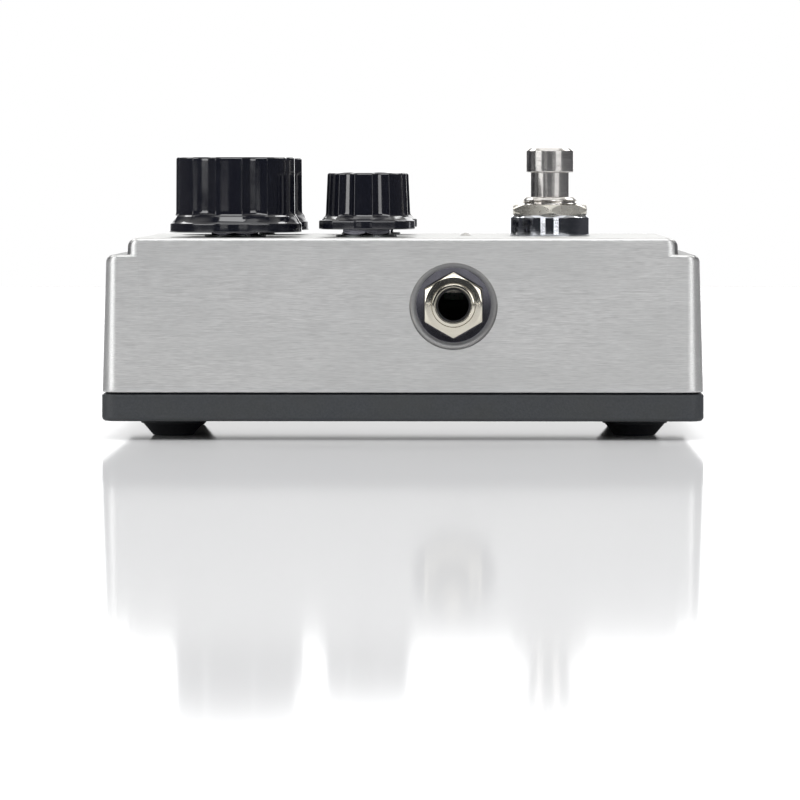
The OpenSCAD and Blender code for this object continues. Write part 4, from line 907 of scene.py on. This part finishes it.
FLUTES = flute_rule()

# Columns of one lobe and one flute, in degrees from the lobe's middle, closest at the ridge
HALF_COLUMNS = [0, 4, 7.5, 10.2, 11.8, 12.5, 12.857, 13.2, 13.9, 15.4, 17.8, 20.6, 23.2]
COLUMNS = [FIRST_LOBE + k * PERIOD + a for k in range(LOBES)
           for a in HALF_COLUMNS + [PERIOD / 2] + [PERIOD - b for b in reversed(HALF_COLUMNS[1:])]]

# %% [markdown]
# ### Outline, pointer and set screw
# The outline is written from the rim up. The pointer is a groove across the crown and down one
# lobe, filled with white paint, and the set screw has its hole in a flute. Both are cut after the
# flutes are pressed in. The knob is hollow below, to clear the nut, and bored for its insert.

# %% Knobs: body
def knob_rows(body_r, skirt_r, height, rim_h, shoulder_h, lean, hollow_r, hollow_h):
    """Outline rows of (radius, height, flute weight, scallop weight)."""
    foot_z = rim_h + shoulder_h
    edge_r, crown_h = 0.5, 0.6
    edge_z = height - crown_h
    top_r = body_r - (height - foot_z) * lean
    rows = [(0, height - 2.6, 0, 0), (4.5, height - 2.6, 0, 0), (4.5, hollow_h, 0, 0),
            (hollow_r, hollow_h, 0, 0), (hollow_r, 0.15, 0, 0), (hollow_r + 0.15, 0, 0, 0)]
    rows += [(skirt_r - 1.6, 0, 0, 0.2)]
    rows += [(r, z, 0, 1) for r, z in arc(skirt_r - 0.25, 0.25, 0.25, -90, 0, 4)]
    rows += [(skirt_r - 0.006 * z, z, 0, 1) for z in (0.29, rim_h * 0.5, rim_h - 0.39)]
    rows += [(r, z, 0, 1) for r, z in arc(skirt_r - 0.36, rim_h - 0.35, 0.35, 0, 60, 5)]
    start_r, start_z = rows[-1][:2]
    for i in range(1, 13):
        t = i / 12
        ease = t * t * (3 - 2 * t)
        rows.append((start_r + (body_r + 0.45 - start_r) * t,
                     start_z + (foot_z - start_z) * (0.55 * t + 0.45 * t * t), 0.3 * ease * ease, 1 - ease))
    rows += [(body_r + 0.24, foot_z + 0.15, 0.55, 0), (body_r + 0.1, foot_z + 0.35, 0.8, 0),
             (body_r + 0.03, foot_z + 0.65, 0.95, 0), (body_r, foot_z + 1.0, 1, 0)]
    wall_top = edge_z - edge_r
    rows += [(body_r + (top_r - body_r) * t, foot_z + 1.0 + (wall_top - foot_z - 1.0) * t, 1, 0)
             for t in (0.03, 0.25, 0.5, 0.75, 0.97, 1)]
    for angle in (15, 30, 45, 60, 75, 90):
        a = math.radians(angle)
        rows.append((top_r - edge_r * (1 - math.cos(a)), edge_z - edge_r * (1 - math.sin(a)), 1, 0))
    flat_r = top_r - edge_r
    rows += [(flat_r * t, edge_z + crown_h * (1 - t * t), t ** 6, 0)
             for t in (0.96, 0.9, 0.8, 0.65, 0.45, 0.2, 0)]
    return rows


def ribbon(name, path, width, low, high):
    """Closed strip along a path of (radius, height), from low to high off it, both along its normal."""
    points = []
    for i, (r, z) in enumerate(path):
        before, after = Vector(path[max(i - 1, 0)]), Vector(path[min(i + 1, len(path) - 1)])
        along = (after - before).normalized()
        normal = Vector((-along.y, along.x))
        for off, side in ((low, -1), (low, 1), (high, 1), (high, -1)):
            p = Vector((r, z)) + normal * off
            points.append((p.x, side * width / 2, p.y))
    last = len(path) - 1
    faces = [[4 * i + k, 4 * i + (k + 1) % 4, 4 * i + 4 + (k + 1) % 4, 4 * i + 4 + k]
             for i in range(last) for k in range(4)]
    faces += [[0, 1, 2, 3], [4 * last + k for k in range(4)]]
    return from_points(name, points, faces)


def pointer_path(rows, body_r, foot_z):
    """The outline over the crown and down a lobe, from near the middle outwards."""
    outside = [(r, z) for r, z, flute, _ in rows[6:] if z > foot_z + 1.2 and r > body_r * 0.28]
    return outside[::-1]


def make_knob(size, side, sizes):
    body_r, skirt_r, height, rim_h, shoulder_h, lean, flute, scallop, share, centre_x = sizes
    where = {NEAR: "near", FAR: "far"}[side]
    node = f"knob_{size}_{where}"
    low, high = size_of(node)
    hollow_h = size_of(f"insert_{size}_{where}")[0].z - low.z
    rows = knob_rows(body_r, skirt_r, height, rim_h, shoulder_h, math.tan(math.radians(lean)), 6.6, hollow_h)
    weights = {"flute": [r[2] for r in rows], "scallop": [r[3] for r in rows]}
    knob = turned(node, [r[:2] for r in rows], COLUMNS, weights)
    follow(knob, FLUTES, lobes=float(LOBES), first_lobe=math.radians(FIRST_LOBE), flute_depth=flute * MM,
           scallop_depth=scallop * MM, scallop_share=share)
    for label in weights:
        knob.data.attributes.remove(knob.data.attributes[label])
    path = pointer_path(rows, body_r, rim_h + shoulder_h)
    lobe = Matrix.Rotation(math.radians(FIRST_LOBE), 4, "Z")
    groove = move(ribbon("groove", path, 1.1, -0.3, 0.6), lobe)
    combine(knob, groove)
    screw_turn = FIRST_LOBE + PERIOD / 2 + PERIOD * round((90 - FIRST_LOBE - PERIOD / 2) / PERIOD)
    hole = move(cylinder("hole", 1.65, 4.0, skirt_r + 2, 40), Matrix.Rotation(math.pi / 2, 4, "Y"))
    move(hole, Matrix.Rotation(math.radians(screw_turn), 4, "Z") @ shift(0, 0, 6))
    combine(knob, hole)
    seat = shift(centre_x, side * KNOB_Y, low.z - 0.15)
    move(knob, seat)
    shade(knob, 40, weighted=False)
    body = f"{size}_knob_{where}"
    dress(knob, node, body, PHENOLIC)
    inlay = move(ribbon(f"pointer_{size}_{where}", path, 1.04, -0.3, -0.06), seat @ lobe)
    shade(inlay, 30)
    dress(inlay, None, body, POINTER)
    return knob


BIG = (12.72, 14.2, 16.6, 2.05, 1.35, 0.3, 1.02, 0.14, 0.7, BIG_X)
SMALL = (8.75, 10.3, 12.6, 1.95, 0.6, 2.0, 0.77, 0.28, 0.6, SMALL_X)
for side in (NEAR, FAR):
    make_knob("big", side, BIG)
    make_knob("small", side, SMALL)

# %% [markdown]
# ## The footswitch
# A chromed cap on a satin stem slides in a threaded bushing. A hexagon nut clamps the bushing to
# the shell over a tall mirror-bright collar, and a lock nut and a toothed washer do so from below.

# %% Footswitch
def make_footswitch():
    at_switch = shift(SWITCH_X, 0, 0)
    low, high = size_of("switch_plunger")
    cap_low, cap_r, stem_r = high.z - 5.35, (high.x - low.x) / 2, 4.225
    outline = [(0, low.z), (stem_r - 0.3, low.z), (stem_r, low.z + 0.3), (stem_r, cap_low),
               (cap_r - 0.25, cap_low)]
    outline += arc(cap_r - 0.25, cap_low + 0.25, 0.25, -60, 0, 3)
    outline += arc(cap_r - 0.15, high.z - 0.75, 0.15, 0, 45, 3)
    outline += arc(cap_r - 0.65, high.z - 0.3, 0.2, 45, 90, 3)
    outline += [(cap_r - 1.0, high.z - 0.12), (cap_r - 1.1, high.z - 0.2), (cap_r - 1.3, high.z - 0.1),
                (3.0, high.z), (0, high.z)]
    plunger = move(turned("switch_plunger", outline, 128), at_switch)
    dress(shade(plunger, 35), "switch_plunger", "plunger", SATIN_CHROME)

    low, high = size_of("switch_bushing")
    bushing = threaded("switch_bushing", 6.0, 4.285, low.z, high.z, low.z + 0.6, high.z - 0.6, 0.75, 0.6,
                       [(4.5, 0), (4.285, 0.2)])
    dress(shade(move(bushing, at_switch), 35), "switch_bushing", "case", SATIN_CHROME)

    collar_top = size_of("switch_collar")[1].z + 0.35
    for node, turn, chamfer, seat in (("switch_nut", 30, 1.0, collar_top),
                                      ("switch_lock_nut", 0, 0.7, size_of("switch_lock_nut")[0].z)):
        high = size_of(node)[1]
        nut = hexagon(node, 16, high.z - seat, 6.08, chamfer, 1.0, turn, 0.05)
        move(nut, at_switch @ shift(0, 0, seat))
        dress(shade(nut, 30), node, "case", NICKEL)

    low = size_of("switch_collar")[0]
    outline = [(6.2, low.z), (8.55, low.z), (8.7, low.z + 0.15), (8.7, collar_top - 0.58)]
    outline += arc(8.6, collar_top - 0.58, 0.1, 0, 45, 2) + arc(8.13, collar_top - 0.1, 0.1, 45, 90, 2)
    outline += [(6.4, collar_top), (6.2, collar_top - 0.2)]
    collar = move(turned("switch_collar", outline, 144), at_switch)
    return dress(shade(collar, 35), "switch_collar", "case", CHROME)


make_footswitch()

# %% [markdown]
# ## Jacks, lamp and power socket
# Each long side has a quarter-inch jack: a threaded bushing, a nickel nut with its corners up and
# down, and a dark satin washer in the dished recess. The bushing's mouth is stepped, and a thin
# black nylon tube lines the bore, a dark sheet that paints the shade deep inside it. The knob end
# has the power socket's pin.

# %% Jacks
def make_jacks():
    nut_t, washer_t = 2.0, JACK_WASHER_Y - RECESS_Y
    pad_z = size_of("input_jack_body")[1].y - RECESS_Y
    nuts, washers = [], []
    for side, node in ((NEAR, "output_jack_bushing"), (FAR, "input_jack_bushing")):
        seat = outwards(side, JACK_X, side * RECESS_Y, JACK_Z)
        end = JACK_FACE_Y - RECESS_Y
        bushing = threaded(node, 4.5, 3.25, pad_z, end - 0.09, pad_z + 0.2, end - 0.35, 0.75, 0.14,
                           [(3.92, -0.09), (3.87, -0.05), (3.82, 0.3), (3.68, 0.3), (3.62, 0.38),
                            (3.62, end - pad_z - 0.5), (3.25, end - pad_z - 0.5)])
        dress(shade(move(bushing, seat), 35), node, "case", NICKEL_FACE)
        # A black nylon tube down the bore paints the shade deep inside the hole; it is not part of the jack.
        bore_shade_outline = [(3.25, pad_z + 0.45), (3.6, pad_z + 0.45), (3.6, end - 0.58), (3.5, end - 0.48),
                  (3.35, end - 0.48), (3.25, end - 0.58)]
        sleeve = move(turned(node.replace("bushing", "sleeve"), bore_shade_outline, 72), seat)
        dress(shade(sleeve, 35), None, "case", NYLON)
        nut = hexagon("jack_nut", 12, nut_t, 4.55, 0.6, 1.7, 30, 0.07, dome=0.28)
        nuts.append(move(nut, seat @ shift(0, 0, washer_t)))
        rim = [(4.7, 0), (7.85, 0)] + arc(7.75, washer_t - 0.1, 0.1, 0, 80, 4) + [(4.7, washer_t - 0.25)]
        washers.append(move(turned("jack_washer", rim, 96), seat))
    for name, pair, material, slot in (("jack_nuts", nuts, NICKEL_FACE, "jack_nickel"),
                                       ("jack_washers", washers, BLACK_NICKEL_AND_NUT_SHADE, "washer_dark")):
        joined = bmesh.new()
        for piece in pair:
            joined.from_mesh(piece.data)
            bpy.data.objects.remove(piece)
        mesh = bpy.data.meshes.new(name)
        joined.to_mesh(mesh)
        joined.free()
        dress(shade(new_object(name, mesh), 30), name, "case", material)


make_jacks()


# %% Lamp and power pin
def make_lamp():
    material, tree, shader = start_material("diffused_lens", "#f0eeea", 0.22, IOR=1.5,
                                            Transmission_Weight=0.35)
    cloud = grain(tree, 1.2)
    tone = add(tree, "ShaderNodeMix", {FACTOR: cloud, FIRST: "#f4f2ee", SECOND: "#e6e3de"}, data_type="RGBA")
    feed(tree, shader, Base_Color=tone.outputs[MIXED])
    relief(tree, shader, cloud, 0.01, 0.3)
    low, high = size_of("led_lens")
    outline = [(0, low.z), (1.9, low.z), (1.9, low.z + 0.9), (1.8, low.z + 1.0), (1.5, low.z + 1.0)]
    outline += arc(0, high.z - 1.5, 1.5, 0, 90, 12)[:-1] + [(0, high.z)]
    lens = move(turned("led_lens", outline, 64), shift(LED_X, 0, 0))
    return dress(shade(lens, 40), "led_lens", "case", material)


def make_pin():
    low, high = size_of("dc_jack_pin")
    length, radius = high.x - low.x, (high.z - low.z) / 2
    outline = [(0, 0), (radius, 0)] + arc(radius - 0.5, length - 0.5, 0.5, 0, 90, 5) + [(0, length)]
    pin = turned("dc_jack_pin", outline, 40)
    move(pin, shift(high.x, 0, (low.z + high.z) / 2) @ Matrix.Rotation(-math.pi / 2, 4, "Y"))
    return dress(shade(pin, 35), "dc_jack_pin", "case", NICKEL)


make_lamp()
make_pin()

# %% [markdown]
# ## Parts that keep their construction shape
# The parts inside are plain blocks, cans and cylinders, and the solids already have their shapes,
# so they keep them and take a finish. Each finish has the mark of how the part is made.

# %% Finishes for the inside
def solder_mask():
    """Green board: darker over bare laminate, paler over copper tracks that run in steps."""
    material, tree, shader = start_material("solder_mask", "#1c4f33", 0.3)
    tracks = add(tree, "ShaderNodeTexVoronoi", {"Vector": place_on(tree, 2.4), "Scale": 1.0},
                 distance="CHEBYCHEV", feature="F2").outputs["Distance"]
    copper = add(tree, "ShaderNodeMapRange", {0: tracks, 1: 0.52, 2: 0.56, 3: 0, 4: 1}).outputs[0]
    tone = add(tree, "ShaderNodeMix", {FACTOR: copper, FIRST: "#17452c", SECOND: "#27693f"}, data_type="RGBA")
    feed(tree, shader, Base_Color=tone.outputs[MIXED])
    vary_roughness(tree, shader, grain(tree, 0.4), 0.3, 0.7, 0.24, 0.4)
    relief(tree, shader, copper, 0.03, 0.6)
    return material


def banded(name, body, bands, spacing_mm, axis, roughness=0.35):
    """Lacquered body with painted rings across the axis. bands lists (start, width, colour) in one
    spacing."""
    material, tree, shader = start_material(name, body, roughness)
    size = [1000.0] * 3
    size["XYZ".index(axis)] = spacing_mm
    along = add(tree, "ShaderNodeSeparateXYZ", {0: place_on(tree, size)}).outputs[axis]
    phase = add(tree, "ShaderNodeMath", {0: along}, operation="FRACT").outputs[0]
    tone = body
    for start, width, paint in bands:
        after = add(tree, "ShaderNodeMath", {0: phase, 1: start}, operation="GREATER_THAN").outputs[0]
        before = add(tree, "ShaderNodeMath", {0: phase, 1: start + width}, operation="LESS_THAN").outputs[0]
        inside = add(tree, "ShaderNodeMath", {0: after, 1: before}, operation="MULTIPLY").outputs[0]
        tone = add(tree, "ShaderNodeMix", {FACTOR: inside, FIRST: tone, SECOND: paint},
                   data_type="RGBA").outputs[MIXED]
    feed(tree, shader, Base_Color=tone)
    relief(tree, shader, grain(tree, 0.8), 0.02, 0.4)
    return material


def foam():
    material, tree, shader = start_material("closed_cell_foam", "#232324", 0.85)
    cells = add(tree, "ShaderNodeTexVoronoi", {"Vector": place_on(tree, 0.5),
                                               "Scale": 1.0}).outputs["Distance"]
    tone = add(tree, "ShaderNodeMix", {FACTOR: cells, FIRST: "#1a1a1b", SECOND: "#303032"}, data_type="RGBA")
    feed(tree, shader, Base_Color=tone.outputs[MIXED])
    relief(tree, shader, cells, 0.12, 0.8)
    return material


BOARD = solder_mask()
BLUE_CASE = moulded("moulded_blue_thermoplastic", "#1b4a8c", "#2559a0", 0.4)
EPOXY = moulded("moulded_epoxy", "#19191b", "#242427", 0.55)
SLEEVE = banded("electrolytic_sleeve", "#22345c", [(0.0, 0.18, "#b8bcc6")], 12.0, "X")
DIPPED = moulded("dipped_epoxy", "#8f2c1f", "#a2402f", 0.25)
LACQUER = banded("resistor_lacquer", "#c9b083", [(0.15, 0.08, "#6b3d1e"), (0.35, 0.08, "#20201f"),
                                                 (0.55, 0.08, "#c9632a"), (0.8, 0.05, "#b59a3e")], 4.0, "X")
GREY_VINYL = banded("ribbon_vinyl", "#a3a5ab", [(0.0, 0.12, "#7d7f86")], 1.27, "Y", 0.45)
RED_VINYL = moulded("red_vinyl", "#9c241c", "#b03a30", 0.35)
BATTERY_WRAP = banded("battery_wrap", "#3d434b", [(0.72, 0.2, "#a8763a")], 60.0, "Z", 0.3)
FOAM = foam()
print("inside finishes ready")

# %% Hand the finishes to the construction's own pieces
KEPT = {
    SHAFT: ["shaft_big_near", "shaft_big_far", "shaft_small_near", "shaft_small_far"],
    STEEL: ["pot_big_near", "pot_big_far", "pot_small_near", "pot_small_far", "pot_terminals",
            "switch_spring", "switch_lock_washer", "switch_frame", "led_leads", "set_screw_big_near",
            "set_screw_big_far", "set_screw_small_near", "set_screw_small_far"],
    BRASS: ["insert_big_near", "insert_big_far", "insert_small_near", "insert_small_far", "switch_lugs"],
    NICKEL_SILVER: ["jack_contacts"],
    NYLON: ["output_jack_body", "input_jack_body", "dc_jack_body", "led_spacer", "battery_clip"],
    BLUE_CASE: ["switch_case"],
    BOARD: ["switch_board", "main_board"],
    EPOXY: ["chips"],
    SLEEVE: ["electrolytics"],
    DIPPED: ["film_caps"],
    LACQUER: ["resistors"],
    GREY_VINYL: ["ribbon_cable"],
    BATTERY_WRAP: ["battery"],
    FOAM: ["battery_pad"],
    RED_VINYL: ["battery_leads"],
}
for material, names in KEPT.items():
    for name in names:
        for place in nodes[name].material_slots:
            place.material = material
print(sum(len(names) for names in KEPT.values()), "construction pieces finished")

# %% [markdown]
# ## Floor
# The floor is a pale matt board with a thin gloss. A gloss reflects more at a flat angle, so in the
# camera's view the pedal's lower edge has a soft reflection that fades downwards.

# %% Floor
FLOOR_CORNERS = [(-1500, -630, 0), (1500, -630, 0), (1500, 1340, 0), (-1500, 1340, 0)]
FLOOR_GLOSS = 0.48


def make_floor():
    material, tree, shader = start_material("floor", "#dedede", 0.5)
    tone = add(tree, "ShaderNodeMix", {FACTOR: grain(tree, 140.0), FIRST: "#dcdcdd", SECOND: "#e0e0e0"},
               data_type="RGBA")
    matt = add(tree, "ShaderNodeBsdfDiffuse", {"Color": tone.outputs[MIXED]})
    gloss = add(tree, "ShaderNodeBsdfGlossy", {"Color": "#ffffff", "Roughness": 0.075})
    glance = add(tree, "ShaderNodeFresnel", {"IOR": 1.5}).outputs[0]
    share = add(tree, "ShaderNodeMath", {0: glance, 1: FLOOR_GLOSS}, operation="MULTIPLY").outputs[0]
    mixed = add(tree, "ShaderNodeMixShader", {0: share, 1: matt.outputs[0], 2: gloss.outputs[0]})
    tree.nodes.remove(shader)
    tree.links.new(mixed.outputs[0], tree.nodes["Material Output"].inputs["Surface"])
    floor = move(from_points("floor", FLOOR_CORNERS, [[0, 1, 2, 3]]), shift(0, 0, -0.05))
    floor.data.materials.append(material)
    return floor


make_floor()
print("floor laid")

# %% [markdown]
# ## Light
# Polished metal shows the room round it, so the world is dark in front of the pedal, pale above and
# beside it, and white low down behind it. That gives the metal its contrast. Matt surfaces see one
# even grey, and the camera sees white.

# %% World
WHITE = [1.0, 1.0, 1.0, 1]
EVEN_GREY, PALE_ABOVE = [0.25, 0.253, 0.26, 1], [0.75, 0.74, 0.71, 1]
DARK_IN_FRONT, DARK_BEHIND = [0.035, 0.037, 0.042, 1], [0.07, 0.07, 0.078, 1]


def make_world():
    world = bpy.data.worlds.new("studio")
    bpy.context.scene.world = world
    world.use_nodes = True
    tree = world.node_tree
    way = add(tree, "ShaderNodeSeparateXYZ", {0: add(tree, "ShaderNodeTexCoord").outputs["Generated"]})
    off_middle = add(tree, "ShaderNodeMath", {0: way.outputs["X"]}, operation="ABSOLUTE").outputs[0]
    middle, rear, low_down, beside, above = [
        add(tree, "ShaderNodeMapRange", {0: value, 1: low, 2: high, 3: at_low, 4: 1 - at_low}).outputs[0]
        for value, low, high, at_low in ((off_middle, 0.26, 0.36, 1), (way.outputs["Y"], 0.3, 0.5, 0),
                                         (way.outputs["Z"], 0.5, 0.6, 1), (way.outputs["Y"], -0.3, 0.3, 0),
                                         (way.outputs["Z"], 0.35, 0.6, 0))]
    behind = add(tree, "ShaderNodeMath", {0: middle, 1: rear}, operation="MULTIPLY").outputs[0]
    above = add(tree, "ShaderNodeMath", {0: above, 1: beside}, operation="MULTIPLY").outputs[0]
    bright = add(tree, "ShaderNodeMath", {0: behind, 1: low_down}, operation="MULTIPLY").outputs[0]
    ray = add(tree, "ShaderNodeLightPath")
    shiny = add(tree, "ShaderNodeMath", {0: ray.outputs["Is Glossy Ray"],
                                         1: ray.outputs["Is Transmission Ray"]}, operation="ADD").outputs[0]
    shade_of_room = DARK_IN_FRONT
    # each row mixes two colours by its factor, and None stands for the room so far
    for factor, first, second in ((beside, None, DARK_BEHIND), (above, None, PALE_ABOVE),
                                  (bright, None, WHITE), (shiny, EVEN_GREY, None),
                                  (ray.outputs["Is Camera Ray"], None, WHITE)):
        mix = {FACTOR: factor, FIRST: first or shade_of_room, SECOND: second or shade_of_room}
        shade_of_room = add(tree, "ShaderNodeMix", mix, data_type="RGBA").outputs[MIXED]
    background = tree.nodes["Background"]
    tree.links.new(shade_of_room, background.inputs["Color"])
    background.inputs["Strength"].default_value = 1.0
    print("world:", len(tree.nodes), "nodes")


make_world()

# %% [markdown]
# ### Lamps
# A wide soft box above the camera and one overhead light the near side and the tops. A smaller one
# overhead is hidden from reflections, so the top doesn't go white. Two low, narrow panels draw the
# bands on the knobs and the turned metal, a broad box at each side shapes the ends, and boxes
# behind mark the rear edges.

# %% Lamps
def soft_box(name, azimuth, elevation, distance, width, height, watts, at=(0, 0, 0.04)):
    """Rectangular lamp aimed at a point. Azimuth 0 is the camera's side, and it grows to its right."""
    a, e = math.radians(azimuth), math.radians(elevation)
    way = Vector((math.sin(a) * math.cos(e), -math.cos(a) * math.cos(e), math.sin(e)))
    lamp = bpy.data.lights.new(name, "AREA")
    lamp.shape = "RECTANGLE"
    lamp.size, lamp.size_y = width, height
    lamp.energy = watts
    piece = bpy.data.objects.new(name, lamp)
    piece.location = Vector(at) + way * distance
    piece.rotation_euler = way.to_track_quat("Z", "Y").to_euler()
    piece.visible_camera = False
    bpy.context.scene.collection.objects.link(piece)
    return piece


soft_box("front_box", 0, 50, 1.3, 1.1, 0.7, 8.6)
soft_box("ceiling_box", 0, 88, 1.25, 1.1, 0.9, 2.7)
soft_box("overhead_box", 0, 86, 1.2, 0.36, 0.28, 1.2).visible_glossy = False
for turn in (-19, 19):
    soft_box(f"panel_{turn}", turn, 0, 1.3, 0.32, 0.016, 0.045, at=(0, 0, 0.0335))
soft_box("left_panel", -57, 17, 1.3, 0.75, 0.66, 5.0)
soft_box("right_panel", 43, 17, 1.3, 0.64, 0.66, 3.4)
for turn in (-132, 132):
    soft_box(f"rim_box_{turn}", turn, 42, 1.3, 0.36, 0.36, 2.2)
soft_box("back_panel", 180, 11, 1.4, 1.4, 0.56, 2.5, at=(0, 0, 0.01))
print("lamps:", len(bpy.data.lights))

# %% [markdown]
# ## Finish
# Colours are shown as they are written.

bpy.context.scene.view_settings.view_transform = "Standard"
